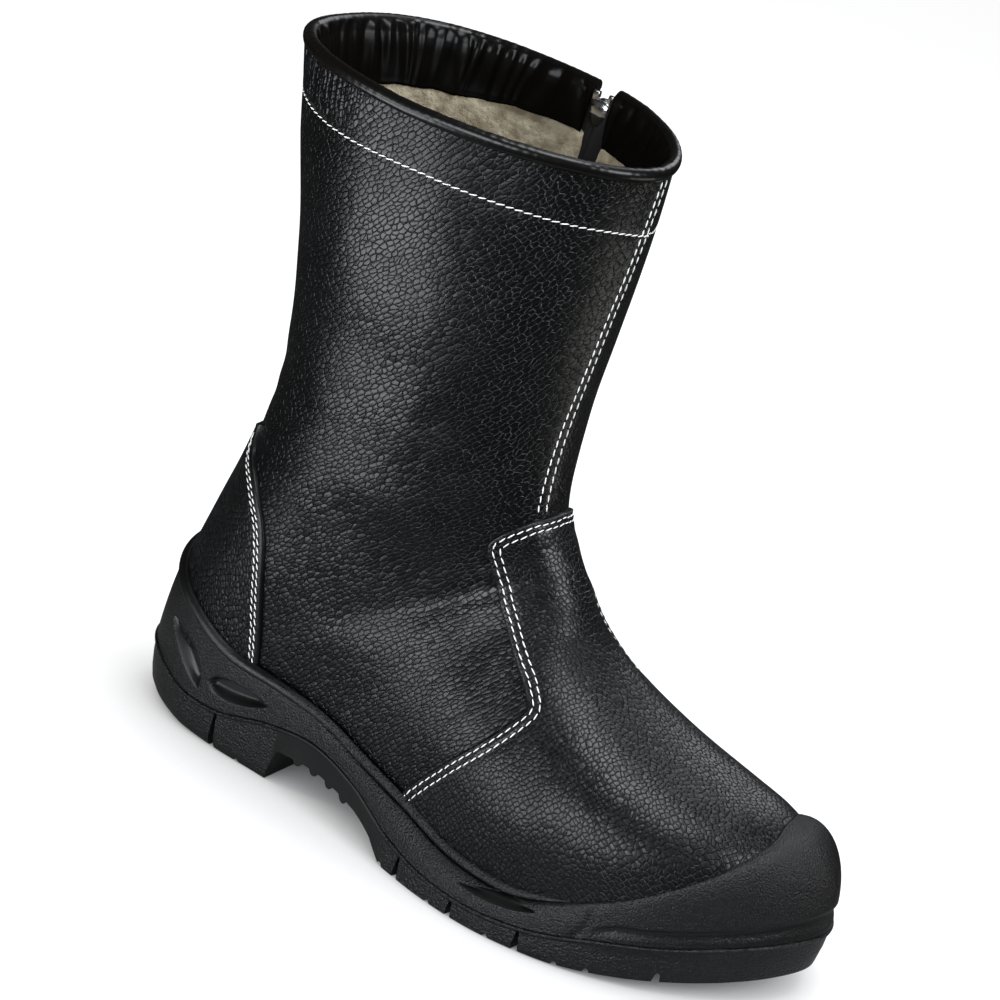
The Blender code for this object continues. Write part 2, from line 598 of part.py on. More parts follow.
def channel_blocks():
    pieces = []
    for x, y, length, width, top, turn in CHANNELS:
        spin = Matrix.Rotation(math.radians(turn), 4, "Z")
        middle = (top + CUT_BELOW) / 2
        pieces.append(block((length, width, top - CUT_BELOW), (x, y, middle), spin))
    return join(*pieces)


def window_forms():
    pieces = []
    for side in (-1, 1):
        for x, y, z, length, height, depth, turn, slope in WINDOWS:
            if side > 0:
                y = np.interp(x, SOLE_ROWS[:, 0], SOLE_ROWS[:, 2]) + WINDOW_OUT
            bm = bmesh.new()
            round_faces, long_faces = WINDOW_FACES
            bmesh.ops.create_uvsphere(bm, u_segments=round_faces, v_segments=long_faces, radius=0.5)
            bmesh.ops.scale(bm, vec=(length, depth, height), verts=bm.verts)
            spin = Matrix.Rotation(math.radians(turn * -side), 4, "Z")
            tip = Matrix.Rotation(math.radians(slope), 4, "Y")
            bmesh.ops.transform(bm, matrix=spin @ tip, verts=bm.verts)
            bmesh.ops.translate(bm, vec=(x, y, z), verts=bm.verts)
            pieces.append(bm)
    return join(*pieces)


def slider_body():
    x, y, z = slider_place()
    return block(SLIDER, (x, y - SLIDER[1] / 2, z), bevel=0.8)


def bail_form():
    x, y, z = pin_place()
    return block(BAIL, (x, y + BAIL_OUT, z), bevel=0.6)


def bail_hole():
    return block(BAIL_HOLE, pin_place())


def pull_tab():
    x, y, z = pin_place()
    return block(PULL, (x, y, z + PULL_PIN / 2 - PULL[2] / 2), bevel=0.5)


def pull_window():
    x, y, z = pin_place()
    return block(PULL_WINDOW, (x, y, z - PULL_PIN / 2 - PULL_WINDOW[2] / 2))


def boolean(part, other, operation="DIFFERENCE"):
    step = part.modifiers.new(operation.title(), "BOOLEAN")
    step.operation = operation
    step.solver = "EXACT"
    step.object = other
    return step


def grow(part, amount):
    step = part.modifiers.new("Grow", "DISPLACE")
    step.strength = amount * MM
    step.mid_level = 0.0
    return step


def shell(part, thickness, outward):
    step = part.modifiers.new("Wall", "SOLIDIFY")
    step.thickness = thickness * MM
    step.offset = 1.0 if outward else -1.0
    step.use_quality_normals = True
    return step


def material(name, colour, roughness, metallic=0.0):
    made = bpy.data.materials.new(name)
    made.use_nodes = True
    shader = made.node_tree.nodes["Principled BSDF"]
    shader.inputs["Base Color"].default_value = (*colour, 1.0)
    shader.inputs["Roughness"].default_value = roughness
    shader.inputs["Metallic"].default_value = metallic
    return made


for old in list(bpy.data.objects):
    bpy.data.objects.remove(old, do_unlink=True)
PARTS = collection("tall_safety_boot")
CUTTERS = collection("cutters")

LEATHER = material("grained_leather", (0.012, 0.012, 0.013), 0.42)
PANEL_LEATHER = material("panel_leather", (0.014, 0.014, 0.015), 0.38)
SOFT_LEATHER = material("collar_leather", (0.018, 0.018, 0.019), 0.32)
FOAM = material("midsole_pu", (0.02, 0.02, 0.021), 0.55)
TREAD = material("outsole_pu", (0.016, 0.016, 0.017), 0.6)
FLEECE = material("footbed_pile", (0.62, 0.55, 0.42), 0.95)
TAPE = material("zip_tape_fabric", (0.015, 0.015, 0.015), 0.85)
TEETH = material("zip_teeth_nylon", (0.03, 0.03, 0.03), 0.45)
METAL = material("zip_metal", (0.42, 0.42, 0.43), 0.3, 1.0)

loop = sole_loop()
last_form = solid("last_form", filled_upper, CUTTERS)
grow(last_form, GAP)
midsole_form = solid("midsole_form", lambda: sole_block(midsole_rings(loop), False), CUTTERS)
grow(midsole_form, GAP)
slit_form = solid("slit_form", lambda: prism(slit_outline(), *SLIT_SIDE), CUTTERS)
vamp_form = solid("vamp_form", lambda: prism(VAMP_EDGE), CUTTERS)
counter_form = solid("counter_form", lambda: prism(COUNTER_EDGE), CUTTERS)
arch_form = solid("arch_form", lambda: prism(arch_outline()), CUTTERS)
spring_form = solid("spring_form", lambda: prism(spring_outline()), CUTTERS)
channel_form = solid("channel_form", channel_blocks, CUTTERS)
window_form = solid("window_form", window_forms, CUTTERS)
notch_middle = (zip_x(SLIDER_Z), TAPE_NOTCH[1], SLIDER_Z - CHAIN_UNDER + TAPE_NOTCH[2] / 2)
tape_notch = solid("tape_notch", lambda: block(TAPE_NOTCH, notch_middle), CUTTERS)
bail_gap = solid("bail_gap", bail_hole, CUTTERS)
bail_solid = solid("bail_solid", bail_form, CUTTERS)
pull_gap = solid("pull_gap", pull_window, CUTTERS)

upper = solid("upper", open_upper, material=LEATHER)
shell(upper, WALL, outward=False)
boolean(upper, slit_form)

vamp = solid("vamp_panel", open_upper, material=PANEL_LEATHER)
grow(vamp, GAP)
shell(vamp, PANEL, outward=True)
boolean(vamp, vamp_form, "INTERSECT")
boolean(vamp, midsole_form)

counter = solid("counter_panel", open_upper, material=PANEL_LEATHER)
grow(counter, GAP)
shell(counter, PANEL, outward=True)
boolean(counter, counter_form, "INTERSECT")
boolean(counter, midsole_form)

midsole = solid("midsole", lambda: sole_block(midsole_rings(loop), False), material=FOAM)
boolean(midsole, last_form)
boolean(midsole, window_form)

outsole = solid("outsole", lambda: sole_block(outsole_rings(loop), True), material=TREAD)
boolean(outsole, arch_form)
boolean(outsole, spring_form)
boolean(outsole, channel_form)

solid("collar_roll", collar_roll, material=SOFT_LEATHER)
solid("insole", insole_plate, material=FLEECE)

tape_near = WALL + TAPE_DEPTH
tape = solid("zip_tape", lambda: wall_strip(TAPE_WIDTH / 2, *TAPE_SPAN, tape_near, tape_near + TAPE_THICK),
             material=TAPE)
boolean(tape, tape_notch)
chain_top = SLIDER_Z - CHAIN_UNDER
chain_far = tape_near - GAP
chain_near = chain_far - CHAIN[1]
solid("zip_chain", lambda: wall_strip(CHAIN[0] / 2, CHAIN_FOOT, chain_top, chain_near, chain_far, columns=3),
      material=TEETH)
slider = solid("zip_slider", slider_body, material=METAL)
boolean(slider, bail_solid, "UNION")
boolean(slider, bail_gap)
pull = solid("zip_pull", pull_tab, material=METAL, pivot=pin_place())
boolean(pull, pull_gap)
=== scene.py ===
"""Looks of the tall safety boot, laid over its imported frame.

Tables and working sizes are in millimetres, as in the part's source: X from the back of the heel to
the toe, Y towards the inner side of the foot, Z up from the ground. A finished piece is in metres,
with its place in its mesh.
"""
import math

import bmesh
import bpy
import numpy as np
from mathutils import Euler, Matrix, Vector, noise


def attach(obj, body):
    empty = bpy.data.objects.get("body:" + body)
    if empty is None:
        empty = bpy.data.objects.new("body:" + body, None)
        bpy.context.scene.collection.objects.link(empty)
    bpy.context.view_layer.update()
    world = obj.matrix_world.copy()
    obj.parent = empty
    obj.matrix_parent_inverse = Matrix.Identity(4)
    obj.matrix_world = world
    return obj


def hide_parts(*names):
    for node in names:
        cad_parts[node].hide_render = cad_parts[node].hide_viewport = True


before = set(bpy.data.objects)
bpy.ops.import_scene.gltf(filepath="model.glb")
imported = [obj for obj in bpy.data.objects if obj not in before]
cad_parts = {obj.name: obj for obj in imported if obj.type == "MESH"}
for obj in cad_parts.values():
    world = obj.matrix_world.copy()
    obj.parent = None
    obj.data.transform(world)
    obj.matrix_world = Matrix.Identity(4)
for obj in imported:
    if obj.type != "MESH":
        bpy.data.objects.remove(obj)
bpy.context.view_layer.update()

MM = 0.001
HEEL_CENTRE = 40.0
WALL = 2.4
FEATHER = 3.0
PANEL_LIFT = 2.0            # outer face of the vamp and counter over the quarters
SLIT = 11.0
SLIT_FOOT = 112.0
ZIP_TOP = (91.0, 296.0)
ZIP_FOOT = (90.0, 112.0)
TAPE_HALF = 13.0
TAPE_SPAN = (106.0, 298.6)
TAPE_DEPTH = 3.3
TAPE_THICK = 0.9
CHAIN_DEPTH = 2.0
CHAIN_SPAN = (118.0, 285.5)
TOOTH_PITCH = 1.35
SLIDER_Z = 290.5
SLIDER_PROUD = 2.0
STOPS_Z = 298.0
PIN_OUT = 1.9
PIN_UP = 0.5
PULL = (6.8, 1.6, 24.0)
PULL_PIN = 1.6
INSOLE_LIFT = 0.6
INSOLE_THICK = 4.0

# The upper's sections, as in the part's source.
SECTION_COLUMNS = ("front_x", "front_z", "back_x", "back_z", "ridge", "outer", "inner",
                   "widest", "front_round", "back_round")
SECTIONS = np.array([
    (152.0, 296.0, -8.5, 296.0, 8.0, -52.0, 72.5, 0.56, 2.0, 2.3),
    (152.5, 260.0, 0.0, 262.0, 7.0, -49.5, 63.5, 0.53, 2.1, 2.3),
    (151.0, 222.0, 10.5, 222.0, 5.0, -46.0, 55.5, 0.50, 2.2, 2.3),
    (150.3, 188.0, 17.0, 186.0, 4.0, -42.0, 49.5, 0.50, 2.2, 2.3),
    (152.0, 163.0, 18.0, 156.0, 3.0, -40.0, 46.0, 0.52, 2.2, 2.3),
    (155.0, 150.0, 14.5, 126.0, 3.0, -39.0, 43.5, 0.53, 2.1, 2.3),
    (159.0, 142.5, 7.0, 94.0, 3.0, -38.0, 41.0, 0.55, 2.1, 2.4),
    (162.5, 137.5, 0.0, 64.0, 4.0, -38.0, 40.0, 0.57, 2.1, 2.5),
    (165.5, 133.5, -1.5, 44.0, 4.0, -38.0, 39.0, 0.58, 2.1, 2.7),
    (168.0, 130.5, 7.0, 25.0, 4.0, -38.0, 38.0, 0.60, 2.1, 3.2),
    (170.5, 127.0, 42.0, 24.0, 4.0, -38.5, 37.5, 0.60, 2.1, 4.0),
    (174.0, 122.5, 82.0, 23.0, 5.0, -39.5, 37.0, 0.62, 2.1, 5.0),
    (178.5, 116.5, 116.0, 21.0, 5.0, -43.0, 38.0, 0.65, 2.1, 6.0),
    (186.0, 108.0, 150.0, 16.5, 6.0, -48.0, 41.0, 0.68, 2.1, 6.0),
    (199.0, 98.5, 180.0, 13.5, 6.0, -53.0, 44.5, 0.70, 2.1, 6.0),
    (218.0, 88.8, 208.0, 13.0, 7.0, -54.5, 47.5, 0.70, 2.2, 6.0),
    (239.0, 80.5, 234.0, 14.0, 9.0, -51.0, 48.0, 0.70, 2.3, 6.0),
    (259.0, 74.5, 257.0, 16.5, 12.0, -42.5, 46.0, 0.66, 2.4, 6.0),
    (276.0, 70.0, 275.0, 20.0, 14.0, -30.0, 42.5, 0.60, 2.4, 5.0),
    (290.0, 64.5, 289.5, 25.0, 15.0, -16.0, 36.5, 0.56, 2.3, 4.0),
    (299.0, 58.0, 299.0, 31.0, 16.0, -2.0, 30.0, 0.54, 2.2, 3.0),
    (303.5, 48.0, 303.5, 42.0, 17.0, 17.0, 17.0, 0.50, 2.0, 2.0),
])
FIRST_FLOOR_ROW = 9
LAST_ROW = len(SECTIONS) - 1
BACK_END = 8.8              # up to this section the two sides meet at the back
QUARTER_END = 14.6          # the sections at which the quarters, the vamp and the lining end
VAMP_END = 20.75
LINING_END = 20.4
ROWS_FINE = 421
SIDE_FINE = 160

# The sole's rows, from the part's source.
SOLE_COLUMNS = ("x", "outer", "inner", "outer_joint", "inner_joint", "part", "inset", "dome", "lip")
SOLE_ROWS = np.array([
    (-7.5, 2.0, 2.0, 72.0, 72.0, 27.0, 8.0, 1.4, 0.8),
    (-3.5, -16.5, 20.5, 69.0, 69.0, 26.5, 8.0, 1.5, 0.8),
    (8.0, -29.5, 33.0, 63.5, 63.5, 24.0, 7.5, 1.7, 0.8),
    (28.0, -38.5, 40.0, 55.0, 55.0, 18.0, 5.0, 2.1, 0.8),
    (50.0, -41.0, 42.0, 46.6, 46.6, 18.0, 2.5, 2.3, 0.8),
    (75.0, -42.0, 42.0, 44.5, 44.5, 25.0, 2.0, 2.3, 0.8),
    (100.0, -43.5, 41.0, 41.5, 41.5, 28.0, 1.5, 2.3, 0.8),
    (125.0, -48.0, 41.5, 35.5, 36.0, 23.0, 0.5, 2.3, 0.8),
    (150.0, -55.5, 44.0, 30.0, 31.0, 14.0, 0.0, 2.3, 0.8),
    (175.0, -61.5, 48.0, 24.0, 26.0, 9.5, 0.0, 2.3, 0.8),
    (200.0, -63.5, 52.0, 22.5, 23.5, 9.2, 0.3, 2.3, 0.8),
    (225.0, -60.5, 55.0, 25.5, 25.5, 12.0, 1.5, 2.3, 0.8),
    (248.0, -53.0, 56.0, 33.5, 33.0, 17.5, 3.0, 2.3, 0.8),
    (270.0, -40.5, 54.5, 46.5, 43.0, 21.5, 5.0, 2.3, 1.2),
    (290.0, -23.5, 50.0, 59.5, 60.0, 26.0, 9.0, 2.3, 2.0),
    (306.0, -3.0, 39.0, 65.6, 66.2, 29.5, 11.0, 2.3, 2.8),
    (313.5, 18.0, 18.0, 67.0, 67.0, 31.0, 12.0, 2.3, 3.2),
])
SPINE_X = (30.0, 262.0)
SPINE_Y = (1.0, 11.0)
HEEL_BREAST = ((79.0, -6.0), (79.6, 2.0), (82.5, 14.5))
ARCH = ((82.5, 14.5), (95, 15.5), (105, 15.5), (116, 14), (128, 11.5), (140, 7.0), (151, -0.5))
ARCH_RIBS = (91.0, 127.0, 4, 2.2)
TOE_SPRING = ((226, -0.4), (236, 0.8), (248, 2.2), (262, 4.2), (276, 6.4), (290, 8.8), (302, 11.5), (325, 18))
# Channels between the lugs: X, Y, length, width, top and turn about Z in degrees.
CHANNELS = (
    (22, -25, 34, 4, 4.5, -60), (22, 27, 34, 4, 4.5, 60),
    (52, -27, 34, 4, 4.5, 80), (52, 28, 34, 4, 4.5, -80),
    (163, -42, 42, 4, 4.5, 76), (165, 32, 38, 4, 4.5, -76),
    (192, -45, 44, 4, 4.5, 80), (194, 38, 40, 4, 4.5, -80),
    (221, -43, 44, 4, 4.5, 86), (223, 40, 42, 4, 4.5, -86),
    (249, 41, 42, 4, 6.0, 82), (268, -30, 40, 7, 9.0, -64), (275, 40, 36, 6, 9.0, 62),
)

# The panels' edges in the side view, X and Z: the vamp from the sole up to the ridge, the counter
# from its top corner down to the sole.
VAMP_EDGE = ((146.2, 20), (147, 30.5), (153, 40.5), (160, 50), (166.5, 58.5), (172.6, 66), (178, 73.5),
             (181.7, 79.5), (183.9, 84.5), (179.6, 89.6), (170, 97.8), (160.4, 106.7), (150, 118),
             (144, 127), (141.2, 132.5), (140.9, 136.2), (143, 140), (149.5, 146.2), (153.9, 150.0))
COUNTER_EDGE = ((22.9, 135.3), (23.4, 132.3), (24.3, 129.4), (26.1, 125.2), (28.6, 122.7), (32.1, 119.8),
                (39.2, 112.5), (45.6, 104), (49.7, 95.5), (52.4, 87.4), (54.7, 78.2), (57.6, 66.9),
                (60.6, 54.7), (62.5, 44), (63, 34))
COUNTER_TOP = ((22.9, 135.3), (21.3, 134.9), (19.6, 133.7), (17.6, 131.9), (15.1, 130.6))
COUNTER_STITCHES = (2.9, 4.7)
# The vamp's edge on the inner side, which lies nearer to the ridge.
VAMP_INNER_EDGE = ((146.2, 20), (147, 30.5), (157, 43), (170, 57), (183, 71), (192, 81), (196.2, 89.5),
                   (195.2, 95.6), (190.6, 99.2), (184.7, 104.6), (180.2, 109.4), (176.7, 113.8),
                   (171.0, 119.3), (164, 124.6), (157, 131), (149, 138), (147, 141.8), (149.8, 146.0),
                   (153.9, 150.0))
# The front seam: section, and the overlapping edge's distance across from the ridge.
FRONT_SEAM = ((0.0, 8.2), (0.2, 6.9), (0.67, 3.8), (1.1, 1.9), (1.56, 0.2), (2.02, -0.8), (2.5, -2.6),
              (3.04, -4.5), (3.67, -6.0), (4.08, -6.5), (4.85, -7.6), (6.0, -8.0), (15.0, -8.0))
SEAM_ROWS = (2.4, 6.4)
SEAM_LIFT = 1.1

# How much lower than at the back the collar lies, round it from the outer back over the ridge to the
# inner back: side share and drop.
COLLAR_LIE = ((-1.0, 0.0), (-0.85, 0.0), (-0.72, -1.5), (-0.6, -3.5), (-0.5, -4.9), (-0.3, -6.0),
              (-0.1, -6.6), (0.0, -6.5), (0.1, -4.8), (0.2, -2.2), (0.3, -0.4), (0.36, 0.0), (1.0, 0.0))
COLLAR_RISE = 4.0
# The collar's roll and its facing: outward from the upper's surface, and height.
ROLL = ((0.2, 297.7), (0.9, 298.0), (1.7, 299.2), (1.9, 300.7), (1.3, 302.3), (0.0, 303.3), (-1.6, 303.3),
        (-3.0, 302.2), (-3.9, 300.2), (-4.8, 296.6), (-6.0, 291.6), (-6.9, 286.0), (-7.2, 280.0),
        (-7.0, 277.2), (-6.3, 277.0), (-5.9, 278.2), (-5.5, 284.0), (-4.5, 291.0), (-3.4, 297.0),
        (-2.6, 300.0), (-1.2, 300.2))
ROLL_END = 6.4
FACING_FOOT = 277.0         # the facing's lower edge and top in that table
FACING_TOP = 300.0
FACING_SLIP = 4.8           # how far forward its two lower corners at the zip lie
# The facing's lower edge and the stitch line under the collar, as heights at side shares.
FACING_HEM = ((-1.0, 277.0), (-0.1, 279.5), (0.3, 279.3), (0.42, 280.7), (0.46, 283.3), (0.53, 281.7),
              (0.62, 279.6), (0.7, 277.6), (0.8, 276.3), (1.0, 277.0))
COLLAR_STITCH = ((-1.0, 279.0), (-0.8, 278.1), (-0.77, 276.9), (-0.74, 275.9), (-0.68, 274.5),
                 (-0.62, 273.8), (-0.57, 273.6), (-0.46, 273.5), (-0.4, 272.9), (-0.27, 272.2),
                 (-0.19, 271.4), (-0.11, 271.0), (-0.06, 270.2), (0.0, 269.0), (0.06, 268.0),
                 (0.14, 270.0), (0.25, 274.5), (0.36, 277.5), (1.0, 279.0))


def bend(u, start, stop, leave, arrive):
    """A smooth step from start to stop with given slopes at its ends, u from 0 to 1."""
    return ((1 + 2 * u) * (1 - u) ** 2 * start + u * (1 - u) ** 2 * leave
            + u * u * (3 - 2 * u) * stop + u * u * (u - 1) * arrive)


def through(rows, where):
    """Smooth values of a table at fractional row numbers."""
    rows = np.asarray(rows, float)
    slopes = np.gradient(rows, axis=0)
    where = np.atleast_1d(np.asarray(where, float))
    row = np.clip(where.astype(int), 0, len(rows) - 2)
    return bend((where - row)[:, None], rows[row], rows[row + 1], slopes[row], slopes[row + 1])


def sections(where):
    """The sections' values by column name at fractional row numbers."""
    return dict(zip(SECTION_COLUMNS, through(SECTIONS, where).T))


FAN = sections(np.linspace(0, LAST_ROW, ROWS_FINE))


def floor_height(x):
    """Height of the footbed's line along the boot."""
    rows = SECTIONS[FIRST_FLOOR_ROW:]
    return np.interp(x, rows[:, 2], rows[:, 3])


def fan_place(x, z):
    """Section number and share along that section of a place in the side view."""
    x, z = np.broadcast_arrays(np.atleast_1d(np.asarray(x, float)), np.asarray(z, float))
    run = FAN["back_x"] - FAN["front_x"]
    drop = FAN["back_z"] - FAN["front_z"]
    ahead = run * (z[:, None] - FAN["front_z"]) - drop * (x[:, None] - FAN["front_x"])
    after = np.clip(np.argmax(ahead < 0, axis=1), 1, len(run) - 1)
    pick = np.arange(len(x))
    part = ahead[pick, after - 1] / (ahead[pick, after - 1] - ahead[pick, after])
    row = {name: FAN[name][after - 1] * (1 - part) + FAN[name][after] * part for name in FAN}
    run = row["back_x"] - row["front_x"]
    drop = row["back_z"] - row["front_z"]
    t = ((x - row["front_x"]) * run + (z - row["front_z"]) * drop) / (run ** 2 + drop ** 2)
    return (after - 1 + part) * LAST_ROW / (ROWS_FINE - 1), t, row


def reach(x, z, side):
    """Y of the upper's outer surface at a place of the side view, side -1 outer or 1 inner."""
    _, t, row = fan_place(x, z)
    front = t < row["widest"]
    along = np.where(front, 1 - t / row["widest"], (t - row["widest"]) / (1 - row["widest"]))
    power = np.where(front, row["front_round"], row["back_round"])
    across = np.clip(1 - np.clip(along, 0, None) ** power, 0, None) ** (1 / power)
    far = row["outer"] if side < 0 else row["inner"]
    inside = (t > 0) & (t < 1)
    return row["ridge"] + (far - row["ridge"]) * np.where(inside, across, -1.0)


def lengths(line):
    """Distance along a line at each of its points."""
    return np.concatenate([[0.0], np.cumsum(np.linalg.norm(np.diff(line, axis=0), axis=1))])


def evenly(line, count):
    """The line again, with points at equal distances."""
    length = lengths(line)
    where = np.linspace(0, length[-1], count)
    return np.stack([np.interp(where, length, column) for column in line.T], axis=1)


def smooth_line(points, count):
    """A smooth line through a table of points, with points at equal distances."""
    points = np.asarray(points, float)
    length = lengths(points)
    slopes = np.gradient(points, length, axis=0)
    where = np.linspace(0, length[-1], 8 * count)
    row = np.clip(np.searchsorted(length, where, side="right") - 1, 0, len(points) - 2)
    span = (length[row + 1] - length[row])[:, None]
    u = (where - length[row])[:, None] / span
    return evenly(bend(u, points[row], points[row + 1], slopes[row] * span, slopes[row + 1] * span), count)


def ease(value, low, high):
    """0 below low, 1 above high, smooth between."""
    t = np.clip((np.asarray(value, float) - low) / (high - low), 0, 1)
    return t * t * (3 - 2 * t)


def look_up(table, where):
    """Value of a table of pairs between its rows."""
    return np.interp(where, *zip(*table))


def turned(degrees):
    """Cosine and sine of an angle."""
    return math.cos(math.radians(degrees)), math.sin(math.radians(degrees))


def half_section(station, side, count):
    """From the ridge down to the open edge over the footbed, or round to the back."""
    row = {name: value[0] for name, value in sections(station).items()}
    angle = np.linspace(0, math.pi, 481)
    front = angle <= math.pi / 2
    power = np.where(front, row["front_round"], row["back_round"])
    across = np.abs(np.sin(angle)) ** (2 / power)
    along = np.abs(np.cos(angle)) ** (2 / power)
    across[-1] = 0.0
    widest = row["widest"]
    t = np.where(front, widest * (1 - along), widest + (1 - widest) * along)
    far = row["outer"] if side < 0 else row["inner"]
    line = np.stack([
        row["front_x"] + (row["back_x"] - row["front_x"]) * t,
        row["ridge"] + (far - row["ridge"]) * across,
        row["front_z"] + (row["back_z"] - row["front_z"]) * t,
    ], axis=1)
    over = line[:, 2] - floor_height(line[:, 0]) - FEATHER
    below = np.nonzero(over < 0)[0]
    if len(below):
        last = below[0]
        part = over[last - 1] / (over[last - 1] - over[last])
        cut = line[last - 1] + part * (line[last] - line[last - 1])
        line = np.vstack([line[:last], cut])
    return evenly(line, count)


def last_surface():
    """A fine grid of the upper: places, outward directions and distances across from the ridge."""
    rows = []
    stations = np.linspace(0, LAST_ROW, ROWS_FINE)
    lie = COLLAR_RISE + look_up(COLLAR_LIE, np.linspace(-1, 1, 2 * SIDE_FINE + 1))
    for station in stations:
        outer = half_section(station, -1, SIDE_FINE + 1)
        inner = half_section(station, 1, SIDE_FINE + 1)
        loop = np.vstack([outer[::-1], inner[1:]])
        loop[:, 2] += max(0.0, 1 - station) * lie
        rows.append(loop)
    place = np.array(rows)
    out = np.cross(np.gradient(place, axis=0), np.gradient(place, axis=1))
    out /= np.maximum(np.linalg.norm(out, axis=2), 1e-9)[..., None]
    meet = stations < BACK_END
    out[meet, 0] = out[meet, 0] + out[meet, -1]
    out[meet, 0] /= np.linalg.norm(out[meet, 0], axis=1)[:, None]
    out[meet, -1] = out[meet, 0]
    across = np.cumsum(np.linalg.norm(np.diff(place, axis=1, prepend=place[:, :1]), axis=2), axis=1)
    across -= across[:, SIDE_FINE:SIDE_FINE + 1]
    return np.dstack([place, out, across])


LAST = last_surface()


def on_last(u, s):
    """Places, outward directions and distance across at sections u and sides s, which run from -1 at
    the outer back over 0 at the ridge to 1 at the inner back."""
    u, s = np.broadcast_arrays(np.asarray(u, float), np.asarray(s, float))
    row = np.clip(u / LAST_ROW, 0, 1) * (ROWS_FINE - 1)
    column = (np.clip(s, -1, 1) + 1) * SIDE_FINE
    i = np.minimum(row.astype(int), ROWS_FINE - 2)
    j = np.minimum(column.astype(int), 2 * SIDE_FINE - 1)
    a = (row - i)[..., None]
    b = (column - j)[..., None]
    value = ((LAST[i, j] * (1 - b) + LAST[i, j + 1] * b) * (1 - a)
             + (LAST[i + 1, j] * (1 - b) + LAST[i + 1, j + 1] * b) * a)
    out = value[..., 3:6]
    out = out / np.maximum(np.linalg.norm(out, axis=-1), 1e-9)[..., None]
    return value[..., :3], out, value[..., 6]


def fine_row(u):
    """Row of the fine grid at a section."""
    return np.asarray(u, float) / LAST_ROW * (ROWS_FINE - 1)


def half_lengths(u):
    """Length of the outer and inner half of a section."""
    steps = np.arange(ROWS_FINE)
    return np.interp(fine_row(u), steps, -LAST[:, 0, 6]), np.interp(fine_row(u), steps, LAST[:, -1, 6])


def side_share(u, across):
    """The side s at a distance across from the ridge."""
    outer, inner = half_lengths(u)
    return np.where(across < 0, across / outer, across / inner)


def locate(x, z, side):
    """Section u and side s of places in the side view."""
    u, t, row = fan_place(x, z)
    share = np.linspace(0, 1, SIDE_FINE + 1)
    found = []
    for k in range(len(u)):
        line = on_last(np.full(len(share), u[k]), side * share)[0]
        run = row["back_x"][k] - row["front_x"][k]
        drop = row["back_z"][k] - row["front_z"][k]
        along = ((line[:, 0] - row["front_x"][k]) * run
                 + (line[:, 2] - row["front_z"][k]) * drop) / (run ** 2 + drop ** 2)
        found.append(side * np.interp(t[k], along, share))
    return u, np.array(found)


def zip_x(z):
    """X of the zip's line at a height."""
    return np.interp(z, (ZIP_FOOT[1], ZIP_TOP[1]), (ZIP_FOOT[0], ZIP_TOP[0]))


def zip_edges(u, half_width):
    """Distances across to the back and front edge of a slot along the zip, and how open it is."""
    back, front, opened = [], [], []
    share = np.linspace(0.15, 1, 400)
    for station in u:
        place, _, across = on_last(np.full(len(share), min(station, BACK_END)), share)
        ahead = zip_x(place[:, 2]) - place[:, 0]
        z = np.interp(0, ahead, place[:, 2])
        low = np.clip((SLIT_FOOT + half_width - z) / half_width, 0, 1)
        width = half_width * math.sqrt(1 - low * low)
        back.append(np.interp(width, ahead, across))
        front.append(np.interp(-width, ahead, across))
        opened.append(width / half_width)
    return np.array(back), np.array(front), np.array(opened)


def nearest(points, line):
    """Distance from each point to the nearest point of a line."""
    points = points.reshape(-1, 3)
    found = np.full(len(points), np.inf)
    for start in range(0, len(line), 64):
        apart = points[:, None, :] - line[None, start:start + 64, :]
        found = np.minimum(found, np.sqrt((apart ** 2).sum(axis=2)).min(axis=1))
    return found


def grid_faces(rows, columns, closed=False, gap=()):
    """Four-sided faces of a grid of points, left out at the named columns."""
    i, j = np.meshgrid(np.arange(rows - 1), np.arange(columns if closed else columns - 1), indexing="ij")
    k = (j + 1) % columns
    here_row, next_row = i * columns, (i + 1) * columns
    faces = np.stack([here_row + j, here_row + k, next_row + k, next_row + j], axis=-1)
    return np.delete(faces, list(gap), axis=1).reshape(-1, 4)


def capped_faces(rows, columns, start=0):
    """Faces of a grid that is closed round each row, with its two ends filled."""
    faces = [list(face + start) for face in grid_faces(rows, columns, closed=True)]
    return faces + [[start + row * columns + k for k in range(columns)] for row in (0, rows - 1)]


def loose_mesh(name, points, faces, **layers):
    """A mesh in metres from points in table millimetres."""
    points = np.asarray(points, float).reshape(-1, 3)
    mesh = bpy.data.meshes.new(name)
    mesh.from_pydata(((points - (HEEL_CENTRE, 0, 0)) * MM).tolist(), [], [list(face) for face in faces])
    for layer, values in layers.items():
        values = np.asarray(values, float)
        flat = values.size == len(points)
        attribute = mesh.attributes.new(layer, "FLOAT" if flat else "FLOAT_VECTOR", "POINT")
        attribute.data.foreach_set("value" if flat else "vector", values.ravel())
    return mesh


def piece(name, mesh, finish, replaces=(), body="boot", sharp=50, turn_out=False):
    """A finished piece: welded, its faces outwards, smooth, riding on its body."""
    bm = bmesh.new()
    bm.from_mesh(mesh)
    bmesh.ops.remove_doubles(bm, verts=bm.verts, dist=5e-6)
    bmesh.ops.dissolve_degenerate(bm, edges=bm.edges, dist=1e-6)
    if turn_out:
        bmesh.ops.recalc_face_normals(bm, faces=bm.faces)
    bm.to_mesh(mesh)
    bm.free()
    mesh.shade_smooth()
    mesh.set_sharp_from_angle(angle=math.radians(sharp))
    mesh.materials.clear()
    mesh.materials.append(finish)
    made = helper(name, mesh)
    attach(made, body)
    if replaces:
        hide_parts(*replaces)
    return made


def evaluated_mesh(maker, name):
    """The mesh of an object with its modifiers applied; the object is taken away."""
    graph = bpy.context.evaluated_depsgraph_get()
    mesh = bpy.data.meshes.new_from_object(maker.evaluated_get(graph), depsgraph=graph)
    mesh.name = name
    bpy.data.objects.remove(maker, do_unlink=True)
    return mesh


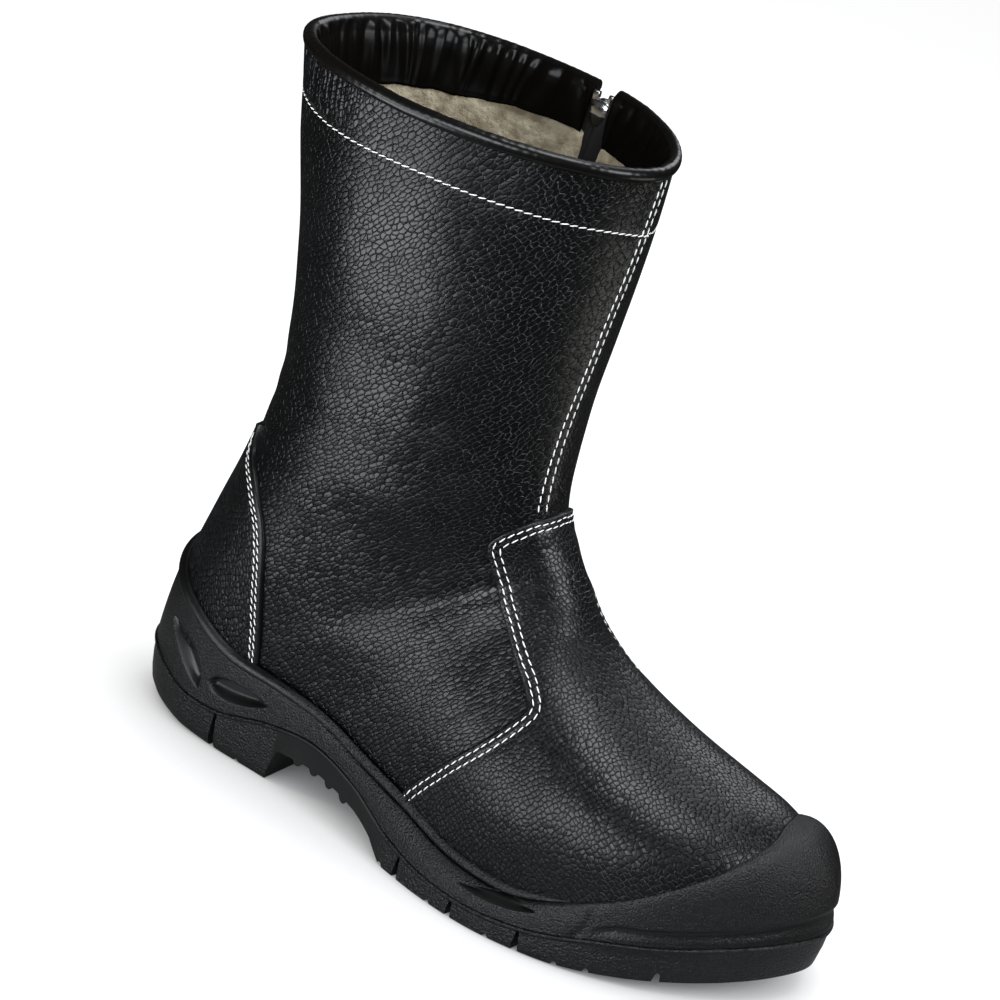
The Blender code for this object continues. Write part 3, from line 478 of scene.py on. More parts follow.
def helper(name, data):
    """A new object in the scene."""
    made = bpy.data.objects.new(name, data)
    bpy.context.scene.collection.objects.link(made)
    return made


def cut_away(base, cutters, name):
    """The base mesh with the cutters' meshes taken out of it."""
    tools = [helper("cutter", mesh) for mesh in cutters]
    block = helper("block", base)
    for tool in tools:
        step = block.modifiers.new("cut", "BOOLEAN")
        step.operation = "DIFFERENCE"
        step.solver = "EXACT"
        step.object = tool
    mesh = evaluated_mesh(block, name)
    for tool in tools:
        bpy.data.objects.remove(tool, do_unlink=True)
    return mesh


# Finishes

def feed(tree, socket, value):
    """Links a socket to an input, or sets the input's value."""
    if isinstance(value, bpy.types.NodeSocket):
        tree.links.new(value, socket)
    else:
        socket.default_value = value


def add(tree, kind, inputs=None, **settings):
    """A node with its settings and inputs; an input is a value or the socket that feeds it."""
    node = tree.nodes.new(kind)
    for name, value in settings.items():
        setattr(node, name, value)
    for name, value in (inputs or {}).items():
        feed(tree, node.inputs[name], value)
    return node


def sums(tree, operation, *terms):
    """Arithmetic on values and sockets."""
    return add(tree, "ShaderNodeMath", dict(enumerate(terms)), operation=operation).outputs[0]


def weighted(tree, *pairs):
    """The sum of sockets, each times its amount."""
    total = 0.0
    for part, amount in pairs:
        total = sums(tree, "MULTIPLY_ADD", part, amount, total)
    return total


def vectors(tree, operation, *terms, result=0):
    """Arithmetic on vectors."""
    return add(tree, "ShaderNodeVectorMath", dict(enumerate(terms)), operation=operation).outputs[result]


def split(tree, vector):
    return add(tree, "ShaderNodeSeparateXYZ", {0: vector}).outputs


def speckle(tree, place, scale, detail, result=0, **more):
    """Smooth noise at a place."""
    inputs = {"Vector": place, "Scale": scale, "Detail": detail, **more}
    return add(tree, "ShaderNodeTexNoise", inputs).outputs[result]


def cell_distance(tree, place, scale):
    """Distance from the middle of the nearest of many cells."""
    cells = add(tree, "ShaderNodeTexVoronoi", {"Vector": place, "Scale": scale}, feature="F1")
    return cells.outputs["Distance"]


def ramp(tree, value, low, high, to_low=0.0, to_high=1.0, kind="SMOOTHSTEP"):
    inputs = {"Value": value, "From Min": low, "From Max": high, "To Min": to_low, "To Max": to_high}
    return add(tree, "ShaderNodeMapRange", inputs, interpolation_type=kind).outputs["Result"]


def mixed(tree, share, first, second):
    """A colour between two, each a socket or its red, green and blue."""
    node = add(tree, "ShaderNodeMix", {"Factor": share}, data_type="RGBA")
    for socket, value in ((node.inputs[6], first), (node.inputs[7], second)):
        feed(tree, socket, value if isinstance(value, bpy.types.NodeSocket) else (*value, 1.0))
    return node.outputs[2]


def grey(value):
    return (value, value, value)


def node_group(name, inputs, outputs):
    """An empty shader group with its named sockets, and its two end nodes."""
    tree = bpy.data.node_groups.new(name, "ShaderNodeTree")
    for socket, kind, value in inputs:
        made = tree.interface.new_socket(socket, in_out="INPUT", socket_type=kind)
        if value is not None:
            made.default_value = value
    for socket in outputs:
        tree.interface.new_socket(socket, in_out="OUTPUT", socket_type=FLOAT)
    return tree, tree.nodes.new("NodeGroupInput").outputs, tree.nodes.new("NodeGroupOutput").inputs


FLOAT, VECTOR = "NodeSocketFloat", "NodeSocketVector"


def pebble_grain():
    """Pebbled leather: domed cells parted by fine furrows, drawn out along the first axis."""
    tree, given, result = node_group(
        "pebble_grain",
        [("Place", VECTOR, None), ("Cell", FLOAT, 1.8), ("Stretch", FLOAT, 1.6), ("Furrow", FLOAT, 0.16),
         ("Rows", FLOAT, 1.0), ("Smooth", FLOAT, 0.0)], ("Height", "Furrows", "Patches"))
    parts = split(tree, given["Place"])
    along = sums(tree, "DIVIDE", parts[0], sums(tree, "MULTIPLY", given["Cell"], given["Stretch"]))
    across = sums(tree, "DIVIDE", parts[1], given["Cell"])
    cells = add(tree, "ShaderNodeCombineXYZ", {0: along, 1: across, 2: 0.0}).outputs[0]
    waved = cells
    for scale, amount in ((0.13, 1.9), (0.7, 0.42)):
        drift = vectors(tree, "SUBTRACT", speckle(tree, cells, scale, 1.0, "Color"), grey(0.5))
        waved = vectors(tree, "MULTIPLY_ADD", drift, (amount, amount, 0.0), waved)
    edge, middle = (add(tree, "ShaderNodeTexVoronoi", {"Vector": waved, "Scale": 1.0, "Randomness": 0.66},
                        feature=feature, voronoi_dimensions="2D").outputs
                    for feature in ("DISTANCE_TO_EDGE", "F1"))
    edge = edge["Distance"]
    offset = vectors(tree, "SUBTRACT", waved, middle["Position"])
    aside = split(tree, vectors(tree, "ABSOLUTE", offset))
    around = sums(tree, "ADD", sums(tree, "ADD", aside[0], aside[1]), 0.02)
    between_rows = sums(tree, "DIVIDE", aside[1], around)
    uneven = add(tree, "ShaderNodeSeparateColor", {0: middle["Color"]}).outputs[0]
    broken = ramp(tree, speckle(tree, cells, 0.9, 1.0), 0.36, 0.62, 0.1, 1.0)
    deeper = sums(tree, "MAXIMUM", ramp(tree, between_rows, 0.3, 0.62), broken)
    deeper = sums(tree, "MAXIMUM", deeper, sums(tree, "SUBTRACT", 1.0, given["Rows"]))
    furrows = sums(tree, "SUBTRACT", 1.0, ramp(tree, edge, 0.0, given["Furrow"]))
    furrows = sums(tree, "MULTIPLY", furrows, deeper)
    roll = ramp(tree, edge, 0.0, 0.17, 1.0, 0.0, "LINEAR")
    roll = sums(tree, "MULTIPLY", sums(tree, "MULTIPLY", roll, roll), deeper)
    lean = vectors(tree, "SUBTRACT", middle["Color"], grey(0.5))
    tilt = vectors(tree, "DOT_PRODUCT", lean, offset, result="Value")
    dome = sums(tree, "SUBTRACT", 1.0, sums(tree, "MULTIPLY", middle["Distance"], middle["Distance"]))
    pores = speckle(tree, waved, 4.0, 2.0)
    height = weighted(tree, (roll, -0.5), (dome, 0.28), (uneven, 0.12), (tilt, 0.3), (pores, 0.07))
    level = sums(tree, "SUBTRACT", 1.0, given["Smooth"])
    tree.links.new(sums(tree, "MULTIPLY", height, level), result["Height"])
    tree.links.new(sums(tree, "MULTIPLY", furrows, level), result["Furrows"])
    tree.links.new(speckle(tree, cells, 0.07, 2.0), result["Patches"])
    return tree


def moulded_grain():
    """The fine skin-like grain of a moulded sole wall."""
    tree, given, result = node_group(
        "moulded_grain", [("Place", VECTOR, None), ("Cell", FLOAT, 1.0), ("Smooth", FLOAT, 0.0)],
        ("Height", "Shine"))
    scale = sums(tree, "DIVIDE", 1000.0, given["Cell"])
    scaled = {0: given["Place"], "Scale": scale}
    place = add(tree, "ShaderNodeVectorMath", scaled, operation="SCALE").outputs[0]
    waved = vectors(tree, "MULTIPLY_ADD", speckle(tree, place, 0.7, 2.0, "Color"), grey(1.5), place)
    edge = cell_distance(tree, waved, 1.0)
    height = weighted(tree, (speckle(tree, place, 2.4, 3.0), 0.5), (edge, -0.7))
    level = sums(tree, "SUBTRACT", 1.0, given["Smooth"])
    tree.links.new(sums(tree, "MULTIPLY", height, level), result["Height"])
    tree.links.new(speckle(tree, place, 0.03, 3.0), result["Shine"])
    return tree


def dust():
    """Handling marks: faint pale specks and rubbed patches."""
    tree, given, result = node_group("dust", [("Place", VECTOR, None), ("Amount", FLOAT, 0.3)], ("Mask",))
    cloud = speckle(tree, given["Place"], 28.0, 4.0)
    speck = speckle(tree, given["Place"], 900.0, 2.0)
    mask = sums(tree, "MULTIPLY", ramp(tree, cloud, 0.48, 0.75), ramp(tree, speck, 0.5, 0.72))
    tree.links.new(sums(tree, "MULTIPLY", mask, given["Amount"]), result["Mask"])
    return tree


PEBBLE = pebble_grain()
MOULDED = moulded_grain()
DUST = dust()


def finish(name):
    """A new material and its node tree."""
    made = bpy.data.materials.new(name)
    made.use_nodes = True
    return made, made.node_tree


def dressed(made, inputs):
    """The material, with values or sockets given to its shader."""
    shader = made.node_tree.nodes["Principled BSDF"].inputs
    for name, value in inputs.items():
        feed(made.node_tree, shader[name], value)
    return made


def placed(tree, group, inputs):
    """Outputs of a shared group that is set into a material."""
    return add(tree, "ShaderNodeGroup", inputs, node_tree=group).outputs


def layer(tree, name, kind="Fac"):
    """A layer of values that the mesh carries."""
    return add(tree, "ShaderNodeAttribute", attribute_name=name).outputs[kind]


def here(tree):
    """The place on the boot, in metres."""
    return add(tree, "ShaderNodeTexCoord").outputs["Object"]


def bumped(tree, height, deep, strength=1.0):
    inputs = {"Height": height, "Distance": deep * MM, "Strength": strength}
    return add(tree, "ShaderNodeBump", inputs).outputs[0]


def drawn_out(tree, place, scale, detail):
    """Noise drawn out by a scale for each axis."""
    drawn = add(tree, "ShaderNodeMapping", {"Vector": place, "Scale": scale}).outputs[0]
    return speckle(tree, drawn, 1.0, detail)


def grained_leather(name, cell, stretch, furrow, rows, deep, rough, coat, gathered=False):
    """Black pebbled leather; its furrows keep to rows by a share, and gathered leather has fine folds."""
    made, tree = finish(name)
    grain = placed(tree, PEBBLE, {"Place": layer(tree, "grain", "Vector"), "Cell": cell, "Stretch": stretch,
                                  "Furrow": furrow, "Rows": rows, "Smooth": layer(tree, "rim")})
    marks = placed(tree, DUST, {"Place": here(tree), "Amount": 0.25})["Mask"]
    # Painted shade: the furrows are painted darker than the cell tops.
    colour = mixed(tree, grain["Furrows"], (0.0015, 0.0016, 0.0017), grey(0.0003))
    patches = ramp(tree, grain["Patches"], 0.3, 0.7, rough - 0.05, rough + 0.06, "LINEAR")
    height = grain["Height"]
    if gathered:
        height = sums(tree, "ADD", height, collar_folds(tree))
    return dressed(made, {
        "Base Color": mixed(tree, marks, colour, grey(0.02)),
        "Roughness": sums(tree, "MULTIPLY_ADD", grain["Furrows"], 0.1, patches),
        "Normal": bumped(tree, height, deep),
        "Coat Weight": coat, "Coat Roughness": 0.3, "Specular IOR Level": 0.36})


def collar_folds(tree):
    """Fine folds that hang from the collar at the back of the shaft."""
    place = here(tree)
    folds = drawn_out(tree, place, (420.0, 420.0, 45.0), 1.0)
    parts = split(tree, place)
    near = sums(tree, "MULTIPLY", ramp(tree, parts[2], 0.268, 0.294), ramp(tree, parts[0], 0.03, -0.03))
    return sums(tree, "MULTIPLY", sums(tree, "MULTIPLY", folds, near), 5.0)


def collar_leather():
    """Smooth soft leather with faint wrinkles."""
    made, tree = finish("collar_leather")
    place = here(tree)
    fine, broad = speckle(tree, place, 700.0, 3.0), speckle(tree, place, 60.0, 2.0)
    height = weighted(tree, (fine, 0.3), (broad, 0.6))
    return dressed(made, {
        "Base Color": mixed(tree, broad, (0.0012, 0.0010, 0.0008), (0.0028, 0.0023, 0.0018)),
        "Roughness": ramp(tree, broad, 0.3, 0.7, 0.46, 0.56, "LINEAR"),
        "Coat Weight": sums(tree, "MULTIPLY", layer(tree, "shine"), 0.75),
        "Normal": bumped(tree, height, 0.12, 0.7),
        "Coat Roughness": 0.28, "Specular IOR Level": 0.016})


def sole_rubber(name, cell, deep, rough, smooth=None):
    """Black moulded rubber; it is smooth where the polish layer or the given mask says so."""
    made, tree = finish(name)
    place = here(tree)
    polish = layer(tree, "polish") if smooth is None else smooth(tree, place)
    grain = placed(tree, MOULDED, {"Place": place, "Cell": cell, "Smooth": polish})
    marks = placed(tree, DUST, {"Place": place, "Amount": 0.3})["Mask"]
    colour = mixed(tree, grain["Shine"], grey(0.001), (0.0022, 0.0022, 0.0021))
    shine = ramp(tree, grain["Shine"], 0.3, 0.7, rough - 0.04, rough + 0.05)
    return dressed(made, {
        "Base Color": mixed(tree, marks, colour, (0.018, 0.018, 0.017)),
        "Roughness": sums(tree, "MULTIPLY_ADD", polish, 0.04, shine),
        "Normal": bumped(tree, grain["Height"], deep),
        "Specular IOR Level": 0.5})


def waist_mask(tree, place):
    """1 on the smooth waist of the outsole."""
    along = split(tree, place)[0]
    start = ramp(tree, along, 0.0405, 0.0415)
    return sums(tree, "MULTIPLY", start, ramp(tree, along, 0.098, 0.112, 1.0, 0.0))


def fleece(name):
    """Short wool pile, cream, with soft clumps."""
    made, tree = finish(name)
    place = here(tree)
    clump = speckle(tree, place, 130.0, 4.0, Roughness=0.6)
    hair = speckle(tree, place, 1500.0, 3.0)
    curl = cell_distance(tree, place, 330.0)
    height = weighted(tree, (hair, 0.35), (curl, -0.5), (clump, 0.8))
    # The colour follows the clumps that also shape the height: painted shade between the clumps and painted
    # light on them, besides the wool's own uneven tone.
    return dressed(made, {
        "Base Color": mixed(tree, ramp(tree, clump, 0.3, 0.66), (0.29, 0.242, 0.158), (0.55, 0.485, 0.35)),
        "Normal": bumped(tree, height, 1.8, 0.9),
        "Roughness": 0.95, "Sheen Weight": 0.4, "Specular IOR Level": 0.2})


def thread():
    """White sewing thread."""
    made, tree = finish("white_thread")
    place = here(tree)
    twist, broad = speckle(tree, place, 2600.0, 1.0), speckle(tree, place, 90.0, 1.0)
    return dressed(made, {
        "Base Color": mixed(tree, broad, (0.84, 0.83, 0.79), (0.95, 0.945, 0.92)),
        "Normal": bumped(tree, twist, 0.12, 0.6),
        "Roughness": 0.6, "Sheen Weight": 0.2})


def tape_fabric():
    """Herringbone zip tape; its layer holds the distance across and along."""
    made, tree = finish("zip_tape_fabric")
    parts = split(tree, layer(tree, "weave", "Vector"))
    share = sums(tree, "FRACT", sums(tree, "DIVIDE", parts[0], 2.4))
    turn = sums(tree, "ABSOLUTE", sums(tree, "SUBTRACT", share, 0.5))
    slant = sums(tree, "MULTIPLY_ADD", turn, 2.4, parts[1])
    ribs, yarn = (sums(tree, "SINE", sums(tree, "MULTIPLY", value, 2 * math.pi / pitch))
                  for value, pitch in ((slant, 0.7), (parts[0], 0.4)))
    height = weighted(tree, (yarn, 0.3), (ribs, 0.5))
    # Painted shade: the colour follows the weave's height, darker in its grooves and paler on its ribs.
    return dressed(made, {
        "Base Color": mixed(tree, ramp(tree, height, -0.8, 0.8), grey(0.001), grey(0.004)),
        "Normal": bumped(tree, height, 0.15),
        "Roughness": 0.85, "Sheen Weight": 0.03})


def zip_nylon():
    """Black nylon of the zip's teeth."""
    made, tree = finish("zip_teeth_nylon")
    wear = speckle(tree, here(tree), 500.0, 2.0)
    return dressed(made, {
        "Base Color": mixed(tree, wear, grey(0.005), grey(0.012)),
        "Roughness": ramp(tree, wear, 0.3, 0.7, 0.32, 0.46),
        "Normal": bumped(tree, wear, 0.05)})


def zip_metal(name, shade_height=None):
    """Bright plated metal; below the given height, in metres, it is painted black and not metallic: painted
    shade in place of what it mirrors low down.
    """
    made, tree = finish(name)
    place = here(tree)
    rub = speckle(tree, place, 420.0, 5.0)
    scratch = drawn_out(tree, place, (2500.0, 2500.0, 160.0), 2.0)
    colour, metal_share = mixed(tree, rub, grey(0.52), (0.62, 0.62, 0.61)), 1.0
    # Painted shade: below the height the base is black and the metal is turned off.
    if shade_height:
        up = sums(tree, "MULTIPLY_ADD", rub, 0.002, split(tree, place)[2])
        metal_share = ramp(tree, up, shade_height, shade_height + 0.0012)
        colour = mixed(tree, metal_share, grey(0.006), colour)
    return dressed(made, {
        "Base Color": colour, "Metallic": metal_share,
        "Roughness": ramp(tree, rub, 0.3, 0.7, 0.14, 0.26),
        "Normal": bumped(tree, scratch, 0.012, 0.4)})


QUARTER_LEATHER = grained_leather("quarter_leather", 1.95, 1.6, 0.09, 0.9, 0.7, 0.3, 0.1, gathered=True)
VAMP_LEATHER = grained_leather("vamp_leather", 1.8, 1.35, 0.09, 0.25, 0.7, 0.32, 0.1)
COUNTER_LEATHER = grained_leather("counter_leather", 1.5, 1.8, 0.1, 0.6, 1.0, 0.34, 0.08)
COLLAR_LEATHER = collar_leather()
MIDSOLE_PU = sole_rubber("midsole_pu", 0.85, 0.42, 0.34)
OUTSOLE_PU = sole_rubber("outsole_pu", 1.15, 0.65, 0.35, waist_mask)
LINING_FLEECE = fleece("lining_fleece")
FOOTBED_FLEECE = fleece("footbed_fleece")
THREAD = thread()
TAPE_FABRIC = tape_fabric()
ZIP_NYLON = zip_nylon()
ZIP_METAL = zip_metal("zip_metal")
# The slider is painted black below this height, in metres, as painted shade.
SLIDER_METAL = zip_metal("slider_metal", 0.2915)


# Leather pieces

def grain_place(u, away, degrees, shift=0.0):
    """The leather laid flat beside the front line, turned so that its furrows run along the first axis."""
    front_x, front_z, back_x, back_z = (np.interp(fine_row(u), np.arange(ROWS_FINE), FAN[name])
                                        for name in SECTION_COLUMNS[:4])
    long = np.hypot(back_x - front_x, back_z - front_z)
    x = front_x + away * (back_x - front_x) / long + shift
    z = front_z + away * (back_z - front_z) / long
    c, s = turned(degrees)
    return np.stack([x * c + z * s, z * c - x * s, np.zeros_like(x)], axis=-1)


def cloud(points, size, seed):
    """Smooth noise between about -1 and 1 at points in millimetres."""
    shift = Vector((17.3 * seed, 5.1 * seed, 9.7 * seed))
    values = [noise.noise(Vector(point) / size + shift) for point in points.reshape(-1, 3)]
    return np.array(values).reshape(points.shape[:-1])


# Soft creases of the shaft: X and Z of their two ends, width and depth.
SHAFT_CREASES = (
    (106, 180, 132, 173, 7.0, -0.7), (104, 162, 130, 160, 6.0, -0.5), (20, 168, 52, 158, 8.0, -0.9),
    (19, 152, 44, 146, 6.0, -0.7), (60, 236, 128, 250, 15.0, -0.8), (40, 205, 96, 190, 14.0, -0.7),
    (100, 120, 130, 96, 12.0, -0.7), (78, 140, 118, 132, 10.0, 0.6),
)


def shaft_relief(place):
    """Soft troughs and ridges of the shaft."""
    x, z = place[..., 0], place[..., 2]
    lift = np.zeros_like(x)
    for x0, z0, x1, z1, width, deep in SHAFT_CREASES:
        run = np.array((x1 - x0, z1 - z0))
        long = np.linalg.norm(run)
        t = ((x - x0) * run[0] + (z - z0) * run[1]) / long ** 2
        aside = np.abs((x - x0) * run[1] - (z - z0) * run[0]) / long
        fade = np.exp(-np.clip(np.abs(t - 0.5) - 0.3, 0, None) ** 2 / 0.06)
        lift += deep * np.exp(-(aside / width) ** 2) * fade
    return lift + 0.35 * cloud(place, 26.0, 3)


def gathers(place, across):
    """Fine folds that run down from the collar, strongest at the back."""
    x, z = place[..., 0], place[..., 2]
    top = ease(z, 274.0, 294.0)
    zone = ease(60.0 - x, 0.0, 45.0)
    wave = np.sin(across / 3.1 * math.pi + 1.6 * cloud(place, 9.0, 5) + z * 0.12)
    return 0.34 * top * zone * wave


def dent(distance, deep=0.25, width=0.8):
    """The trough that a row of stitches pulls into the leather."""
    return -deep * np.exp(-(distance / width) ** 2)


def collar_dent(place, side):
    """The trough of the stitch line under the collar."""
    return dent(place[..., 2] - look_up(COLLAR_STITCH, side), 0.28, 1.0)


EDGE_STEPS = np.array((0.0, 0.12, 0.4, 0.85, 1.5, 2.4))
ZIP_STITCH = 4.5            # from the slit's edge to its stitch line
QUARTER_TURN = 48.0         # degrees that the quarters' furrows are turned by


def from_edge(steps, total, count):
    """Distances in from an edge, close steps first and then even ones up to a total, for each section."""
    last = steps[:, -1:]
    return np.concatenate([steps, last + np.linspace(0, 1, count)[1:] * (total[:, None] - last)], axis=1)


def lip(distance, lift, radius=0.9):
    """Height of a panel's edge at a distance in from it."""
    t = np.clip(distance / radius, 0, 1)
    return lift * np.sqrt(np.clip(1 - (1 - t) ** 2, 0, 1))


def quarter_rows():
    """Sections of the quarters' rows, closer together on the shaft."""
    return np.concatenate([np.linspace(0, 5, 120), np.linspace(5, QUARTER_END, 84)[1:]])


def outer_quarter():
    """From the front seam's upper edge round the outer side to the back."""
    u = quarter_rows()
    edge = look_up(FRONT_SEAM, u)
    away = from_edge(np.tile(EDGE_STEPS, (len(u), 1)), edge + half_lengths(u)[0], 146)
    side = side_share(u[:, None], edge[:, None] - away)
    place, out, across = on_last(u[:, None], side)
    lift = SEAM_LIFT * (1 - ease(away, 3.0, 16.0))
    height = np.where(away < 2, lip(away, lift), lift) - 0.5 * (away == 0)
    height = height + shaft_relief(place) * ease(away, 2.0, 12.0) + gathers(place, across)
    height = height + collar_dent(place, side) + sum(dent(away - row) for row in SEAM_ROWS)
    grain = grain_place(np.broadcast_to(u[:, None], across.shape), -across, QUARTER_TURN)
    rim = 0.75 * (1 - ease(away, 0.8, 2.2))
    return place + out * height[..., None], out, grain, rim, ()


def inner_quarter():
    """From the back round the inner side, over the zip's slit, to under the front seam."""
    u = quarter_rows()
    back_edge, front_edge, opened = zip_edges(u, SLIT / 2)
    held = np.minimum(u, BACK_END)
    _, inner = half_lengths(held)
    seam = look_up(FRONT_SEAM, held) - 7.0
    steps = EDGE_STEPS * np.clip(opened, 0.02, 1)[:, None]
    behind = from_edge(steps, inner - back_edge, 64)
    before = from_edge(steps, front_edge - seam, 64)
    away = np.concatenate([behind[:, ::-1], behind[:, :1], before[:, :1], before], axis=1)
    spread = np.concatenate([back_edge[:, None] + behind[:, ::-1], back_edge[:, None], front_edge[:, None],
                             front_edge[:, None] - before], axis=1)
    side = side_share(held[:, None], spread)
    place, out, across = on_last(u[:, None], side)
    gate = opened[:, None]
    height = (lip(away, 1.0, 1.2) - 1.0) * gate
    rim_column = behind.shape[1]
    height[:, rim_column:rim_column + 2] = -2.3 * gate
    height = height + gathers(place, across) + collar_dent(place, side)
    height = height + shaft_relief(place) * ease(away, 4.0, 20.0) + gate * dent(away - ZIP_STITCH)
    height = height - 0.5 * ease(seam[:, None] + 9.0 - spread, 0.0, 3.0)
    grain = grain_place(np.broadcast_to(u[:, None], across.shape), across, QUARTER_TURN, shift=400.0)
    rim = 0.75 * (1 - ease(away, 0.8, 2.2)) * gate
    return place + out * height[..., None], out, grain, rim, (rim_column,)


def leather_piece(name, grids, leather, node):
    """A piece from grids of places, each with its outward directions, leather grain, rim and open columns."""
    points, faces, grains, rims = [], [], [], []
    start = 0
    for place, out, grain, rim, gap in grids:
        flat = place.reshape(-1, 3)
        faces.append(facing(flat, grid_faces(*rim.shape, gap=gap), out.reshape(-1, 3)) + start)
        points.append(flat)
        grains.append(grain.reshape(-1, 3))
        rims.append(rim.ravel())
        start += len(flat)
    mesh = loose_mesh(name, np.vstack(points), np.vstack(faces),
                      grain=np.vstack(grains), rim=np.concatenate(rims))
    piece(name, mesh, leather, [node])


def facing(points, faces, out):
    """The faces, turned over if most of them look inwards."""
    a, b, c = points[faces[:, 0]], points[faces[:, 1]], points[faces[:, 2]]
    agree = (np.cross(b - a, c - a) * out[faces[:, 0]]).sum()
    return faces if agree > 0 else faces[:, ::-1]


def inset_rows(edge_u, edge_s, steps):
    """Sections and sides of lines inside a panel's edge, at given distances from it towards the toe."""
    place, out, _ = on_last(edge_u, edge_s)
    inward = np.cross(out, np.gradient(place, axis=0))
    inward *= np.sign(inward[:, 0].mean())
    inward /= np.linalg.norm(inward, axis=1)[:, None]
    blur = np.hanning(23)[1:-1]
    padded = np.vstack([np.tile(inward[0], (10, 1)), inward, np.tile(inward[-1], (10, 1))])
    inward = np.stack([np.convolve(column, blur / blur.sum(), "valid") for column in padded.T], axis=1)
    inward /= np.linalg.norm(inward, axis=1)[:, None]
    du = (on_last(edge_u + 0.02, edge_s)[0] - on_last(edge_u - 0.02, edge_s)[0]) / 0.04
    ds = (on_last(edge_u, edge_s + 0.004)[0] - on_last(edge_u, edge_s - 0.004)[0]) / 0.008
    uu, us, ss = (du * du).sum(1), (du * ds).sum(1), (ds * ds).sum(1)
    u_in, s_in = (du * inward).sum(1), (ds * inward).sum(1)
    whole = uu * ss - us * us
    step_u, step_s = (u_in * ss - s_in * us) / whole, (s_in * uu - u_in * us) / whole
    steps = np.asarray(steps)[:, None]
    return edge_u + steps * step_u, np.clip(edge_s + steps * step_s, -1, 1)


def stitch_rows(place, away, distances):
    """Lines on a grid at given distances from its edge, one for each distance."""
    lines = []
    for distance in distances:
        line = []
        for k in range(place.shape[1]):
            column = away[:, k]
            j = int(np.argmax(column > distance))
            if j == 0:
                continue
            t = (distance - column[j - 1]) / (column[j] - column[j - 1])
            line.append(place[j - 1, k] + t * (place[j, k] - place[j - 1, k]))
        lines.append(np.array(line))
    return lines


VAMP_STEPS = np.concatenate([EDGE_STEPS, (3.3, 4.3, 5.3, 6.4, 8.0)])
VAMP_STITCHES = (2.5, 5.3)


def build_vamp():
    """The vamp panel; gives its lines of stitches."""
    edge_u, edge_s = [], []
    for side, table in ((-1, VAMP_EDGE), (1, VAMP_INNER_EDGE)):
        side_line = smooth_line(table, 168)
        u, s = locate(side_line[:, 0], side_line[:, 1], side)
        s = s * (1 - ease(np.arange(len(s)), len(s) - 4, len(s) - 1))
        order = slice(None) if side < 0 else slice(-2, None, -1)
        edge_u.append(u[order])
        edge_s.append(s[order])
    edge_u, edge_s = np.concatenate(edge_u), np.concatenate(edge_s)
    near_u, near_s = inset_rows(edge_u, edge_s, VAMP_STEPS)
    along = np.linspace(0, 1, 97)[1:, None]         # from the close rows at the edge to the toe
    far_s = np.linspace(-1, 1, len(edge_s))
    u = np.vstack([near_u, near_u[-1] + (VAMP_END - near_u[-1]) * along])
    s = np.vstack([near_s, near_s[-1] + (far_s - near_s[-1]) * along])
    place, out, across = on_last(u, s)
    steps = np.concatenate([VAMP_STEPS, VAMP_STEPS[-1] + 90.0 * along.ravel()])
    away = np.broadcast_to(steps[:, None], u.shape)
    height = lip(away, PANEL_LIFT, 1.1) - 0.5 * (away < 0.01)
    height = height + sum(dent(away - row, 0.26) for row in VAMP_STITCHES)
    height = height + 0.12 * np.exp(-((away - 3.9) / 1.0) ** 2)
    height = height + 0.25 * cloud(place, 22.0, 8) * ease(away, 5.0, 14.0)
    surface = place + out * height[..., None]
    grid = surface, out, grain_place(u, np.abs(across), -38.0), 0.8 * (1 - ease(away, 0.9, 2.0)), ()
    leather_piece("vamp", [grid], VAMP_LEATHER, "vamp_panel")
    return stitch_rows(surface, away, VAMP_STITCHES)


EDGE_BAND = 22              # rows and columns beside the counter's edge whose distance to it is worked out
FAR_FROM_EDGE = 99.0        # stands for the distance of the others


